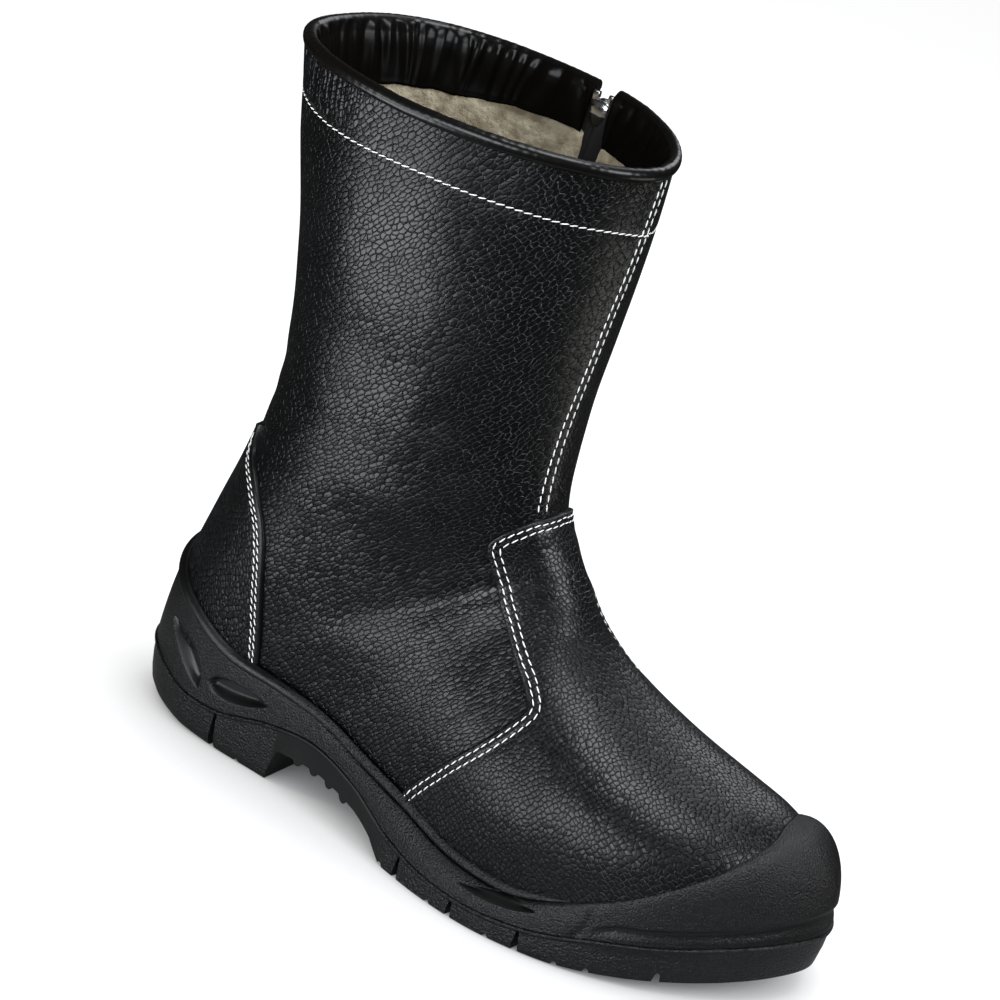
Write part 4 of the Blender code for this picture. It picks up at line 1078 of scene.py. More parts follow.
def build_counter():
    """The counter panel; gives its lines of stitches."""
    side_line = smooth_line(COUNTER_EDGE, 84)
    top_line = smooth_line(COUNTER_TOP, 22)
    u_side, s_side = locate(side_line[:, 0], side_line[:, 1], -1)
    _, s_inner = locate(side_line[:, 0], side_line[:, 1], 1)
    u_top, s_top = locate(top_line[:, 0], top_line[:, 1], -1)
    length = lengths(side_line)
    last = EDGE_STEPS[-1]
    rows = np.concatenate([EDGE_STEPS, np.linspace(last, length[-1], 78)[1:]])
    u_rows = np.interp(rows, length, u_side)
    reach_out = 1 + np.interp(rows, length, s_side)       # share left from the back, outer side
    reach_in = 1 - np.interp(rows, length, s_inner)
    outer, inner = half_lengths(u_rows)
    left, right = reach_out * outer, reach_in * inner
    inside = np.linspace(0, 1, 97)[1:-1]
    span = left + right
    table = np.concatenate([np.tile(EDGE_STEPS, (len(rows), 1)), last + inside * (span - 2 * last)[:, None],
                            span[:, None] - EDGE_STEPS[::-1]], axis=1)
    from_back = table - left[:, None]                       # below 0 on the outer side
    s = np.where(from_back < 0, -1 - from_back / outer[:, None], 1 - from_back / inner[:, None])
    s = np.clip(s, -1, 1)
    share = np.abs(from_back) / np.where(from_back < 0, left[:, None], right[:, None])
    top_share = (1 + s_top) / (1 + s_top[0])
    rise = np.interp(np.clip(share, 0, 1), top_share[::-1], (u_top - u_top[0])[::-1])
    fade = np.clip(1 - rows / 40.0, 0, 1)[:, None] ** 2
    u = u_rows[:, None] + rise * fade
    place, out, across = on_last(u, s)
    edge_line = np.vstack([place[::-1, 0], place[0], place[:, -1]])
    away = np.full(u.shape, FAR_FROM_EDGE)
    close = np.ones(u.shape, bool)
    close[EDGE_BAND:, EDGE_BAND:-EDGE_BAND] = False
    away[close] = nearest(place[close], edge_line)
    height = lip(away, PANEL_LIFT, 1.2) - 0.5 * (away < 0.01)
    height = height + sum(dent(away - row, 0.26) for row in COUNTER_STITCHES)
    height = height + 0.2 * cloud(place, 20.0, 11) * ease(away, 5.0, 12.0)
    outer_all, inner_all = half_lengths(u)
    grain = grain_place(u, np.where(from_back < 0, -across, outer_all + inner_all - across), -58.0)
    surface = place + out * height[..., None]
    grid = surface, out, grain, 0.95 * (1 - ease(away, 1.9, 2.6)), ()
    leather_piece("counter", [grid], COUNTER_LEATHER, "counter_panel")
    middle = u.shape[1] // 2
    lines = []
    for part in (slice(0, middle), slice(None, middle, -1)):
        lines += stitch_rows(surface[6:, part].transpose(1, 0, 2), away[6:, part].T, COUNTER_STITCHES)
    return lines + stitch_rows(surface[:, 12:-12], away[:, 12:-12], COUNTER_STITCHES)


# Collar

def roll_line(z, count):
    """The upper's outline at a height, from the front side of the zip round to its back side: X, Y, the
    collar's lie and the facing's lower edge, and the directions out of it."""
    station = np.clip((ZIP_TOP[1] - z) / (SECTIONS[0, 1] - SECTIONS[1, 1]), 0, 1)
    ring = np.vstack([half_section(station, -1, 260)[::-1], half_section(station, 1, 260)[1:-1]])
    share = np.linspace(-1, 1, len(ring) + 1)[:-1]
    ring = np.column_stack([ring[:, :2], look_up(COLLAR_LIE, share), look_up(FACING_HEM, share)])
    inner = ring[:, 1] > 30
    middle = float(zip_x(z))
    start = np.nonzero(inner & (ring[:, 0] > middle + ROLL_END))[0][-1]
    stop = np.nonzero(inner & (ring[:, 0] < middle - ROLL_END))[0][0]
    line = [ring[start:start + 1], ring[:start + 1][::-1], ring[stop:][::-1], ring[stop:stop + 1]]
    for end, x in ((line[0], middle + ROLL_END), (line[-1], middle - ROLL_END)):
        end[0, :2] = x, reach(x, min(z, ZIP_TOP[1] - 0.01), 1)[0]
    line = evenly(np.vstack(line), count)
    ahead = np.gradient(line[:, :2], axis=0)
    out = np.stack([-ahead[:, 1], ahead[:, 0]], axis=1)
    return np.column_stack([line, out / np.linalg.norm(out, axis=1)[:, None]])


def pleats(along, drop, spacing, seed):
    """Bulges between the folds of a gathered facing: 0 in a fold, about 1 between."""
    chance = np.random.default_rng(seed)
    folds = [-6.0]
    while folds[-1] < along.max() + 12:
        folds.append(folds[-1] + spacing * chance.uniform(0.55, 1.5))
    folds = np.array(folds)
    shifted = along + np.interp(along, folds, chance.uniform(-0.3, 0.3, len(folds))) * drop
    k = np.clip(np.searchsorted(folds, shifted) - 1, 0, len(folds) - 2)
    t = (shifted - folds[k]) / (folds[k + 1] - folds[k])
    tall = chance.uniform(0.5, 1.0, len(folds))[k] * np.clip((folds[k + 1] - folds[k]) / spacing, 0.4, 1.3)
    return tall * (0.5 - 0.5 * np.cos(2 * math.pi * t)) ** 0.85


def build_collar():
    columns = 560
    profile = smooth_line(ROLL + ROLL[:1], 92)[:-1]
    levels = np.linspace(272.0, 297.0, 9)
    lines = np.array([roll_line(z, columns) for z in levels])
    length = lengths(lines[-1, :, :2])
    tangent = np.gradient(np.vstack([profile[-2:], profile, profile[:2]]), axis=0)[2:-2]
    normals = np.stack([tangent[:, 1], -tangent[:, 0]], axis=1)
    normals /= np.linalg.norm(normals, axis=1)[:, None]
    rows, shine = [], []
    for (offset, z), (aside, up) in zip(profile, normals):
        shine.append(1.0 if offset > -3.3 else 0.03 + 0.5 * float(ease(z, 291.0, 300.5)))
        level = np.clip((z - levels[0]) / (levels[1] - levels[0]), 0, len(levels) - 1.001)
        i, t = int(level), level - int(level)
        flat_x, flat_y, lie, hem, out_x, out_y = (lines[i] * (1 - t) + lines[i + 1] * t).T
        drop = max(0.0, 302.0 - z)
        deep = pleats(length, drop, 8.2, 4)
        small = pleats(length, drop * 0.6, 3.4, 9)
        if aside < 0 and offset < -3.5:
            strength = float(ease(z, 303.4, 298.5)) * (0.2 + 0.8 * float(ease(z, 276.0, 296.0)))
            swell = strength * (1.5 * (deep - 0.5) + 0.15 * (small - 0.5))
        elif z > 300:
            swell = 0.12 * (small - 0.6) + 0.3 * float(ease(-offset, -1.0, 4.0)) * (deep - 0.6)
        else:
            swell = 0.05 * (small - 0.6)
        height = z + lie
        if offset < -3.3 and z < FACING_TOP:
            share = (z - FACING_FOOT) / (FACING_TOP - FACING_FOOT)
            hem = hem + 0.25 * np.sin(length / 7.0) + 0.2 * np.sin(length / 3.1 + 1.3)
            height = hem + share * (FACING_TOP + lie - hem)
            slip = FACING_SLIP * (1 - share) * np.exp(-(np.minimum(length, length[-1] - length) / 12.0) ** 2)
            flat_x, flat_y = flat_x + slip, flat_y - 0.3 * slip
        tuck = 1.2 * (1 - ease(-lie, 0.0, 3.0)) * (1 - ease(flat_y, 10.0, 70.0))
        shift = offset + aside * swell - tuck
        height = height - 0.7 * tuck
        rows.append(np.column_stack([flat_x + out_x * shift, flat_y + out_y * shift, height + up * swell]))
    grid = np.array(rows).transpose(1, 0, 2)
    faces = capped_faces(*grid.shape[:2])
    mesh = loose_mesh("collar_roll", grid.reshape(-1, 3), faces, shine=np.tile(shine, columns))
    made = piece("padded_collar", mesh, COLLAR_LEATHER, ["collar_roll"],
                 turn_out=True, sharp=70)


# Lining and footbed

LINING_SLOT = (4.0, 9.5)    # how far behind and before the zip the lining ends
LINING_DEPTH = 5.4          # the pile's face under the upper's surface


def build_lining():
    u = np.concatenate([np.linspace(0.4, 5, 90), np.linspace(5, LINING_END, 110)[1:]])
    back_edge, _, opened = zip_edges(u, LINING_SLOT[0])
    back_edge = back_edge + (zip_edges(u, 0.4)[0] - back_edge) * ease(u, 0.3, 0.75)
    front_edge = zip_edges(u, LINING_SLOT[1])[1]
    held = np.minimum(u, BACK_END)
    outer, inner = half_lengths(held)
    behind = inner[:, None] + (back_edge - inner)[:, None] * np.linspace(0, 1, 50)
    before = front_edge[:, None] * (1 - np.linspace(0, 1, 60))
    spread = np.concatenate([behind, before, -outer[:, None] * np.linspace(0, 1, 120)[1:]], axis=1)
    place, out, _ = on_last(u[:, None], side_share(held[:, None], spread))
    lumps = (1.1 * cloud(place, 5.0, 21) + 0.7 * cloud(place, 2.4, 22)) * ease(u, 0.4, 0.62)[:, None]
    edge_away = np.minimum(np.abs(spread - back_edge[:, None]), np.abs(spread - front_edge[:, None]))
    lip_in = 0.5 * (1 - ease(edge_away, 0.0, 1.5)) * opened[:, None]
    hidden = 2.2 * (1 - ease(u, 0.42, 0.6))[:, None]      # behind the facing
    points = place - out * (LINING_DEPTH + lumps - lip_in - hidden)[..., None]
    flat = points.reshape(-1, 3)
    faces = facing(flat, grid_faces(*points.shape[:2], gap=(behind.shape[1] - 1,)), -out.reshape(-1, 3))
    piece("fleece_lining", loose_mesh("fleece_lining", flat, faces), LINING_FLEECE)


def build_footbed():
    x = np.concatenate([[12.6, 13.2, 14.5, 17, 21, 28], np.linspace(34, 264, 120),
                        [269, 274, 278, 281, 282.4, 283]])
    low = floor_height(x) + INSOLE_LIFT
    edge_z = floor_height(x) + FEATHER
    left = reach(x, edge_z, -1) + WALL + 1.9
    right = reach(x, edge_z, 1) - WALL - 1.9
    share = np.concatenate([[0.0, 0.01, 0.03], np.linspace(0.06, 0.94, 44), [0.97, 0.99, 1.0]])
    y = left[:, None] + (right - left)[:, None] * share
    rim = np.minimum(share, 1 - share)
    round_edge = np.sqrt(np.clip(1 - (1 - np.clip(rim / 0.03, 0, 1)) ** 2, 0, 1))
    top = low[:, None] + INSOLE_THICK * (0.35 + 0.65 * round_edge)
    grid = np.dstack([np.broadcast_to(x[:, None], y.shape), y, top])
    lumps = 0.5 * cloud(grid, 5.0, 31) + 0.35 * cloud(grid, 2.4, 32)
    grid[..., 2] += lumps * round_edge
    under = grid.copy()
    under[..., 2] = low[:, None]
    loop = np.concatenate([grid, under[:, ::-1]], axis=1)
    mesh = loose_mesh("footbed", loop.reshape(-1, 3), capped_faces(*loop.shape[:2]))
    piece("footbed", mesh, FOOTBED_FLEECE, ["insole"], turn_out=True)


# Sole

def sole_loop(subdivide):
    """The sole's rows as one closed run of points round its outline, by column name."""
    rows = dict(zip(SOLE_COLUMNS, SOLE_ROWS.T))
    shared = [rows[name] for name in SOLE_COLUMNS[5:]]
    there = np.stack([rows["x"], rows["outer"], rows["outer_joint"], *shared], axis=1)
    back = np.stack([rows["x"], rows["inner"], rows["inner_joint"], *shared], axis=1)
    ring = np.vstack([there, back[-2:0:-1]])
    padded = np.vstack([ring[-2:], ring, ring[:3]])
    where = 2 + np.arange(len(ring) * subdivide) / subdivide
    loop = dict(zip(("x", "y", "joint", *SOLE_COLUMNS[5:]), through(padded, where).T))
    spine_x = np.clip(loop["x"], *SPINE_X)
    spine_y = np.interp(spine_x, SPINE_X, SPINE_Y)
    inward = np.stack([spine_x - loop["x"], spine_y - loop["y"]], axis=1)
    loop["room"] = np.linalg.norm(inward, axis=1)
    loop["inward"] = inward / loop["room"][:, None]
    near = np.zeros(len(loop["x"]))
    far = loop["room"] * 0.98
    for _ in range(40):
        middle = (near + far) / 2
        x, y, z = sole_points(loop, middle, loop["joint"]).T
        hit = (y > reach(x, z, -1)) & (y < reach(x, z, 1))
        far = np.where(hit, middle, far)
        near = np.where(hit, near, middle)
    loop["depth"] = far
    return loop


def sole_points(loop, inward, height):
    flat = np.stack([loop["x"], loop["y"]], axis=1) + loop["inward"] * np.broadcast_to(
        inward, loop["x"].shape)[:, None]
    return np.column_stack([flat, np.broadcast_to(height, loop["x"].shape)])


# Smooth hollows of the side wall: X and Z of the low and high tip, height of the upper and lower edge
# over the line between the tips, where each is highest (small is near the first tip), depth.
HOLLOWS = (
    (10.7, 43.5, 37.4, 22.0, 8.4, -3.0, 0.55, 0.5, 3.4),
    (42.6, 27.8, 74.0, 31.8, 4.8, -5.8, 0.32, 0.34, 3.6),
    (186.5, 15.0, 224.0, 19.3, 2.0, -2.6, 0.62, 0.55, 2.4),
)
TOE_BAND = ((242.5, 17.2), (248, 23.6), (254.5, 26.6), (263, 27.7), (280, 31.5), (296, 35.4), (303, 38.5),
            (314, 42.0))


def leaf(t, peak):
    """0 at both ends, 1 at the peak."""
    power = math.log(0.5) / math.log(peak)
    return np.sin(math.pi * np.clip(t, 0, 1) ** power) ** 0.8


def hollow_depth(x, z):
    """How deep the smooth hollows are at places of the side view, and where they are smooth."""
    deep = np.zeros_like(x)
    smooth = np.zeros_like(x)
    for x0, z0, x1, z1, high, low, high_at, low_at, depth in HOLLOWS:
        run = np.array((x1 - x0, z1 - z0))
        long = np.linalg.norm(run)
        t = ((x - x0) * run[0] + (z - z0) * run[1]) / long ** 2
        up = (-(x - x0) * run[1] + (z - z0) * run[0]) / long
        top = high * leaf(t, high_at)
        bottom = low * leaf(t, low_at)
        share = (up - bottom) / np.maximum(top - bottom, 0.05)
        inside = (t > 0) & (t < 1) & (share > 0) & (share < 1)
        shape = ease(share, 0.0, 0.5) * (1 - ease(share, 0.84, 1.0))
        room = np.clip((top - bottom) / (0.55 * (high - low)), 0, 1)
        deep += np.where(inside, depth * shape * room, 0.0)
        smooth = np.maximum(smooth, np.where(inside, ease(share, 0.0, 0.08), 0.0))
    return deep, smooth


def toe_band_depth(x, z, part):
    """The smooth groove round the toe, over the parting line."""
    top = look_up(TOE_BAND, x)
    bottom = part + 1.2
    share = (z - bottom) / np.maximum(top - bottom, 0.1)
    strength = ease(x, 243.0, 254.0)
    inside = (share > 0) & (share < 1) & (x > 243)
    shape = ease(share, 0.0, 0.7) * (1 - ease(share, 0.84, 1.0))
    return np.where(inside, 1.5 * strength * shape, 0.0), np.where(inside, 0.6 * strength, 0.0)


# The midsole's top edge, row by row: in and up at the bead of the sides, in its radius, and at the toe cap.
TOP_EDGE = (
    (0.72, -1.04, -1.75, 1.0), (1.02, -0.76, -1.5, 1.02), (0.98, -0.36, -1.2, 1.0), (0.72, -0.05, -0.9, 0.95),
    (0.42, 0.03, -0.6, 0.86), (0.18, -0.2, -0.25, 0.6), (0.02, -0.5, 0.0, 0.2), (-0.3, -0.75, 0.6, -0.3),
    (-1.0, -0.9, 4.0, -1.2),
)


def build_midsole():
    loop = sole_loop(22)
    part, joint, depth = loop["part"], loop["joint"], loop["depth"]
    bead = 1 - ease(loop["x"], 205.0, 246.0)
    dome, lip_up = loop["dome"], loop["lip"]
    tube = 4.0 + 1.4 * (1 - ease(loop["x"], 10.0, 100.0))

    def rows_between(side_row, toe_row):
        """A row of the side's round bead blended into a row of the toe cap's edge."""
        return tuple(bead * a + (1 - bead) * b for a, b in zip(side_row, toe_row))

    lean, base = rows_between((depth - tube + 1.7, joint - tube - part),
                              (depth - 1.9, joint + lip_up - 0.1 - part))
    table = [(np.full_like(part, inward), part + up) for inward, up in ((6.0, 0.6), (1.2, -0.05), (0.0, 0.1))]
    for turn in (0.05, 0.12, 0.2, 0.3, 0.4, 0.5, 0.6, 0.7, 0.8, 0.9, 0.96):
        level, left = (f(turn * math.pi / 2) ** (2 / dome) for f in (np.sin, np.cos))
        table.append((lean * (1 - left), part + level * base))
    for side_in, side_up, toe_in, toe_up in TOP_EDGE:
        table.append(rows_between((depth - side_in * tube, joint + side_up * tube),
                                  (depth + toe_in, joint + toe_up * lip_up)))
    levels = np.linspace(0, len(table) - 1, 110)
    inward, height = (through(rows, levels) for rows in zip(*table))
    along = loop["x"] + loop["inward"][:, 0] * inward
    deep, smooth = hollow_depth(along, height)
    band, band_smooth = toe_band_depth(along, height, part)
    inward = inward + deep + band + step_groove(along, height)
    bead_rows = ((levels > 14.3) & (levels < 19))[:, None]
    polish = np.maximum(np.maximum(smooth, band_smooth), 0.7 * (1 - ease(loop["x"], 60.0, 130.0)) * bead_rows)
    flat = np.stack([loop["x"], loop["y"]], axis=1)[None] + loop["inward"][None] * inward[..., None]
    grid = np.dstack([flat, height])
    out = np.dstack([np.broadcast_to(-loop["inward"][None], flat.shape), np.zeros_like(height)])
    points = grid.reshape(-1, 3)
    faces = facing(points, grid_faces(*height.shape, closed=True), out.reshape(-1, 3))
    mesh = loose_mesh("midsole", points, faces, polish=polish.ravel())
    piece("midsole_wall", mesh, MIDSOLE_PU, ["midsole"], sharp=60)


STEP_GROOVE = ((238.9, 14.4), (243.6, 29.3))     # X and Z of its two ends


def step_groove(x, z):
    """The slanting groove where the toe cap starts."""
    (low_x, low_z), (high_x, high_z) = STEP_GROOVE
    t = np.clip((z - low_z) / (high_z - low_z), -0.2, 1.2)
    line = low_x + (high_x - low_x) * t + 2.0 * np.sin(np.clip(t, 0, 1) * math.pi)
    fade = ease(z, 13.0, 17.0) * (1 - ease(z, 26.0, 30.0))
    return 0.9 * fade * np.exp(-((x - line) / 1.3) ** 2)


def ring_block(name, rings):
    """A closed mesh between rings of points, its two ends filled."""
    grid = np.array(rings)
    mesh = loose_mesh(name, grid.reshape(-1, 3), capped_faces(*grid.shape[:2]))
    bm = bmesh.new()
    bm.from_mesh(mesh)
    bmesh.ops.recalc_face_normals(bm, faces=bm.faces)
    bm.to_mesh(mesh)
    bm.free()
    return mesh


def prism_rings(outline, low=-120.0, high=120.0):
    outline = np.asarray(outline, float)
    return [np.column_stack([outline[:, 0], np.full(len(outline), y), outline[:, 1]]) for y in (low, high)]


def wedge_rings(x, y, length, wide, narrow, low, high, turn):
    """A bar that narrows upwards, for cutting a channel between lugs."""
    c, s = turned(turn)
    rings = []
    for z, width in ((low, wide), (high - 1.0, narrow), (high, narrow * 0.4)):
        corners = np.array([(-length / 2, -width / 2), (length / 2, -width / 2),
                            (length / 2, width / 2), (-length / 2, width / 2)])
        rings.append(np.column_stack([x + corners[:, 0] * c - corners[:, 1] * s,
                                      y + corners[:, 0] * s + corners[:, 1] * c, np.full(4, z)]))
    return rings


def arch_outline():
    first, last, count, height = ARCH_RIBS
    x = np.linspace(ARCH[0][0], ARCH[-1][0], 120)
    z = look_up(ARCH, x)
    phase = (x - first) / (last - first) * count
    rib = np.where((x > first) & (x < last), np.sin(phase * 2 * math.pi), 0.0)
    z = z - height * np.clip(rib, 0, None) ** 0.5
    return list(HEEL_BREAST) + list(zip(x[1:], z[1:])) + [(ARCH[-1][0], -6.0)]


# Small dents in the tread's edge between the channels: X and side.
DENTS = ((64, -1), (150, -1), (178, -1), (207, -1), (236, -1), (248, -1),
         (66, 1), (152, 1), (180, 1), (209, 1), (236, 1), (262, 1))


def build_outsole():
    loop = sole_loop(11)
    part, inset = loop["part"], loop["inset"]
    waist = ease(loop["x"], 80.0, 84.0) * (1 - ease(loop["x"], 132.0, 152.0))
    rings = [sole_points(loop, inward, part - below) for inward, below in
             ((6.0, 0.3), (1.5, 0.2), (-0.2, 0.15), (-0.62, 0.35), (-0.85, 0.8), (-0.72, 1.35), (-0.2, 1.8))]
    rings.append(sole_points(loop, 0.15 + 1.2 * waist, part - 2.3))
    for share, in_share, recess in ((0.78, 0.04, 2.0), (0.5, 0.14, 2.0), (0.3, 0.27, 1.8), (0.14, 0.52, 1.5),
                                    (0.05, 0.8, 1.2)):
        rings.append(sole_points(loop, in_share * inset + recess * waist, (part - 2.4) * share))
    rings.append(sole_points(loop, inset + 0.5 + waist, 0.0))
    under_toe = [(TOE_SPRING[-1][0], -6.0), (TOE_SPRING[0][0], -6.0)]
    cutters = [prism_rings(arch_outline()), prism_rings(list(smooth_line(TOE_SPRING, 40)) + under_toe)]
    for x, y, length, width, top, turn in CHANNELS:
        reach_up = np.interp(x, SOLE_ROWS[:, 0], SOLE_ROWS[:, 5]) - 1.6
        if x < 30 or x > 260:           # at the two ends only the edge is notched
            reach_up, length = top + 1.0, 0.6 * length
        cutters.append(wedge_rings(x, y, length, width, 1.3 if width < 6 else 2.0, -4.0, reach_up, turn))
    for x, side in DENTS:
        column = 1 if side < 0 else 2
        y = np.interp(x, SOLE_ROWS[:, 0], SOLE_ROWS[:, column])
        low = float(look_up(TOE_SPRING, x)) if x > TOE_SPRING[0][0] else 0.0
        cutters.append(wedge_rings(x, y, 14.0, 5.0, 2.2, -4.0, low + 1.9, 84.0 * side))
    base = ring_block("outsole_block", rings)
    mesh = cut_away(base, [ring_block("cutter", cutter) for cutter in cutters], "outsole")
    piece("outsole_tread", mesh, OUTSOLE_PU, ["outsole"], sharp=32)


# Stitches and teeth, set out by Geometry Nodes on points that carry their directions

def bead_row_tree(name):
    """Sets one rounded bead on each point, lying along the point's run with its face outwards."""
    tree = bpy.data.node_groups.new(name, "GeometryNodeTree")
    for socket, kind in (("Points", "NodeSocketGeometry"), ("Length", FLOAT), ("Width", FLOAT),
                         ("Height", FLOAT), ("Unevenness", FLOAT), ("Seed", "NodeSocketInt"),
                         ("Finish", "NodeSocketMaterial")):
        tree.interface.new_socket(socket, in_out="INPUT", socket_type=kind)
    tree.interface.new_socket("Beads", in_out="OUTPUT", socket_type="NodeSocketGeometry")
    given = tree.nodes.new("NodeGroupInput").outputs
    run, face = (add(tree, "GeometryNodeInputNamedAttribute", {"Name": which},
                     data_type="FLOAT_VECTOR").outputs[0] for which in ("run", "face"))
    turn = add(tree, "FunctionNodeAxesToRotation", {0: run, 1: face}, primary_axis="X", secondary_axis="Z")
    ball = add(tree, "GeometryNodeMeshUVSphere", {"Segments": 8, "Rings": 6, "Radius": 0.5}).outputs[0]
    size = add(tree, "ShaderNodeCombineXYZ", {0: given["Length"], 1: given["Width"], 2: given["Height"]})
    bead = add(tree, "GeometryNodeTransform", {"Geometry": ball, "Scale": size.outputs[0]}).outputs[0]
    bead = add(tree, "GeometryNodeSetShadeSmooth", {"Geometry": bead}).outputs[0]
    chance = add(tree, "FunctionNodeRandomValue", data_type="FLOAT_VECTOR")
    for socket, operation in enumerate(("SUBTRACT", "ADD")):
        value = sums(tree, operation, 1.0, given["Unevenness"])
        corner = add(tree, "ShaderNodeCombineXYZ", {0: value, 1: value, 2: 1.0}).outputs[0]
        tree.links.new(corner, chance.inputs[socket])
    tree.links.new(given["Seed"], chance.inputs["Seed"])
    spread = add(tree, "GeometryNodeInstanceOnPoints", {
        "Points": given["Points"], "Instance": bead, "Rotation": turn.outputs[0], "Scale": chance.outputs[0]})
    real = add(tree, "GeometryNodeRealizeInstances", {"Geometry": spread.outputs[0]}).outputs[0]
    done = add(tree, "GeometryNodeSetMaterial", {"Geometry": real, "Material": given["Finish"]}).outputs[0]
    end = tree.nodes.new("NodeGroupOutput")
    tree.links.new(done, end.inputs[0])
    return tree


BEADS = bead_row_tree("thread_and_teeth")


def bead_rows(name, places, runs, faces, sizes, unevenness, seed, finish_made, slot=None, replaces=()):
    mesh = loose_mesh(name + "_points", places, [], run=runs, face=faces)
    maker = helper(name + "_points", mesh)
    step = maker.modifiers.new("beads", "NODES")
    step.node_group = BEADS
    values = {"Length": sizes[0] * MM, "Width": sizes[1] * MM, "Height": sizes[2] * MM,
              "Unevenness": unevenness, "Seed": seed, "Finish": finish_made}
    for item in BEADS.interface.items_tree:
        if item.in_out == "INPUT" and item.name in values:
            step[item.identifier] = values[item.name]
    piece(name, evaluated_mesh(maker, name), finish_made, replaces, sharp=80)


def stitch_points(line, lift, pitch):
    """Middles, directions and outward faces of the stitches along a line."""
    count = max(2, int(round(lengths(line)[-1] / pitch)))
    ends = evenly(line, 2 * count + 1)
    middle = ends[1::2]
    run = ends[2::2] - ends[:-1:2]
    run /= np.linalg.norm(run, axis=1)[:, None]
    face = upper_out(middle)
    return middle + face * lift, run, face


def upper_out(points):
    """Outward directions of the upper nearest to some points."""
    grid = LAST[::4, ::4].reshape(-1, LAST.shape[-1])
    found = []
    for point in points:
        near = np.argmin(((grid[:, :3] - point) ** 2).sum(axis=1))
        found.append(grid[near, 3:6])
    return np.array(found)


def collar_stitch_line():
    """Round the shaft under the collar, from one side of the zip to the other."""
    shares = np.linspace(-1, 1, 701)
    u = np.linspace(0.3, 1.0, 90)
    ring = []
    for share, height in zip(shares, look_up(COLLAR_STITCH, shares)):
        place, out, across = on_last(u, np.full(len(u), share))
        away = look_up(FRONT_SEAM, u) - across
        lift = np.where(away > 0, SEAM_LIFT * (1 - ease(away, 3.0, 16.0)), -0.3)
        place = place + out * lift[:, None]
        ring.append([np.interp(-height, -place[:, 2], column) for column in place.T])
    ring = np.array(ring)
    beyond = ring[:, 0] - zip_x(ring[:, 2])
    rear = ring[(shares > 0) & (beyond < -9.0)]
    front = ring[(shares > 0) & (beyond > 9.0)]
    return np.vstack([rear, ring[shares <= 0], front])


def front_stitch_lines():
    u = np.linspace(0.06, 4.86, 120)
    edge = look_up(FRONT_SEAM, u)
    lines = []
    for row in SEAM_ROWS:
        place, out, _ = on_last(u, side_share(u, edge - row))
        lines.append(place + out * 0.9)
    return lines


def zip_stitch_lines():
    u = np.linspace(0.15, 6.9, 150)
    back, front, _ = zip_edges(u, SLIT / 2)
    lines = []
    for across in (back + ZIP_STITCH, front - ZIP_STITCH):
        place = on_last(u, side_share(u, across))[0]
        lines.append(place[place[:, 2] > SLIT_FOOT - 4])
    return lines


def build_stitches(vamp_rows, counter_rows):
    """All seams; each kind has a name, lines with their lift, a pitch, bead sizes and a slant."""
    panels = [(line, 0.05) for line in vamp_rows] + [(line, 0.1) for line in front_stitch_lines()]
    panels += [(line, 0.0) for line in zip_stitch_lines()]
    kinds = (("panel_stitches", panels, 3.9, (3.3, 0.58, 0.62), 0.12),
             ("counter_stitches", [(line, 0.05) for line in counter_rows], 3.4, (3.0, 0.52, 0.6), 0.3),
             ("collar_stitches", [(collar_stitch_line(), 0.0)], 3.7, (3.7, 0.54, 0.6), 0.2))
    for seed, (name, lines, pitch, sizes, slant) in enumerate(kinds):
        places, runs, faces = [], [], []
        for line, lift in lines:
            if len(line) < 4:
                continue
            middle, run, face = stitch_points(line, lift, pitch)
            places.append(middle)
            runs.append(run + slant * np.cross(face, run))
            faces.append(face)
        bead_rows(name, np.vstack(places), np.vstack(runs), np.vstack(faces), sizes, 0.06, 7 + seed, THREAD)


# Zip

def zip_frame(z, depth, aside=0.0):
    """Places beside the zip's line at a depth under the upper's surface."""
    x = zip_x(z) + aside
    y = reach(x, np.minimum(z, ZIP_TOP[1] - 0.01), 1)
    return np.column_stack([x, y - depth, z])


def build_tape():
    z = np.linspace(*TAPE_SPAN, 160)
    inner_edge = 0.15 + 2.1 * ease(z, 284.0, 291.0)
    points, faces, weave = [], [], []
    for side in (-1, 1):
        front, kept = [], []
        for share in np.linspace(0, 1, 12):
            aside = side * (inner_edge + (TAPE_HALF - inner_edge) * share)
            cord = 0.35 * math.exp(-((share - 0.08) / 0.05) ** 2)
            front.append(zip_frame(z, TAPE_DEPTH - cord, aside))
            kept.append(np.column_stack([aside, z, 0 * z]))
        back = [row - (0, TAPE_THICK, 0) for row in front[::-1]]
        loop, layers = (np.array(rows).transpose(1, 0, 2) for rows in (front + back, kept + kept[::-1]))
        faces += capped_faces(*loop.shape[:2], start=sum(map(len, points)))
        points.append(loop.reshape(-1, 3))
        weave.append(layers.reshape(-1, 3))
    mesh = loose_mesh("zip_tape", np.vstack(points), faces, weave=np.vstack(weave))
    piece("zip_tape_cloth", mesh, TAPE_FABRIC, ["zip_tape"], turn_out=True)


def build_teeth():
    places, runs, faces = [], [], []
    for side in (-1, 1):
        z = np.arange(CHAIN_SPAN[0] + (TOOTH_PITCH / 2 if side > 0 else 0), CHAIN_SPAN[1], TOOTH_PITCH)
        line = zip_frame(z, CHAIN_DEPTH)
        line[:, 0] += side * 1.0
        places.append(line)
        runs.append(np.tile((1.0, 0.0, 0.12 * side), (len(z), 1)))
        faces.append(np.tile((0.0, 1.0, 0.0), (len(z), 1)))
    bead_rows("zip_coil", np.vstack(places), np.vstack(runs), np.vstack(faces), (2.9, 1.15, 1.6), 0.0, 1,
              ZIP_NYLON, "zip_teeth_nylon", ["zip_chain"])


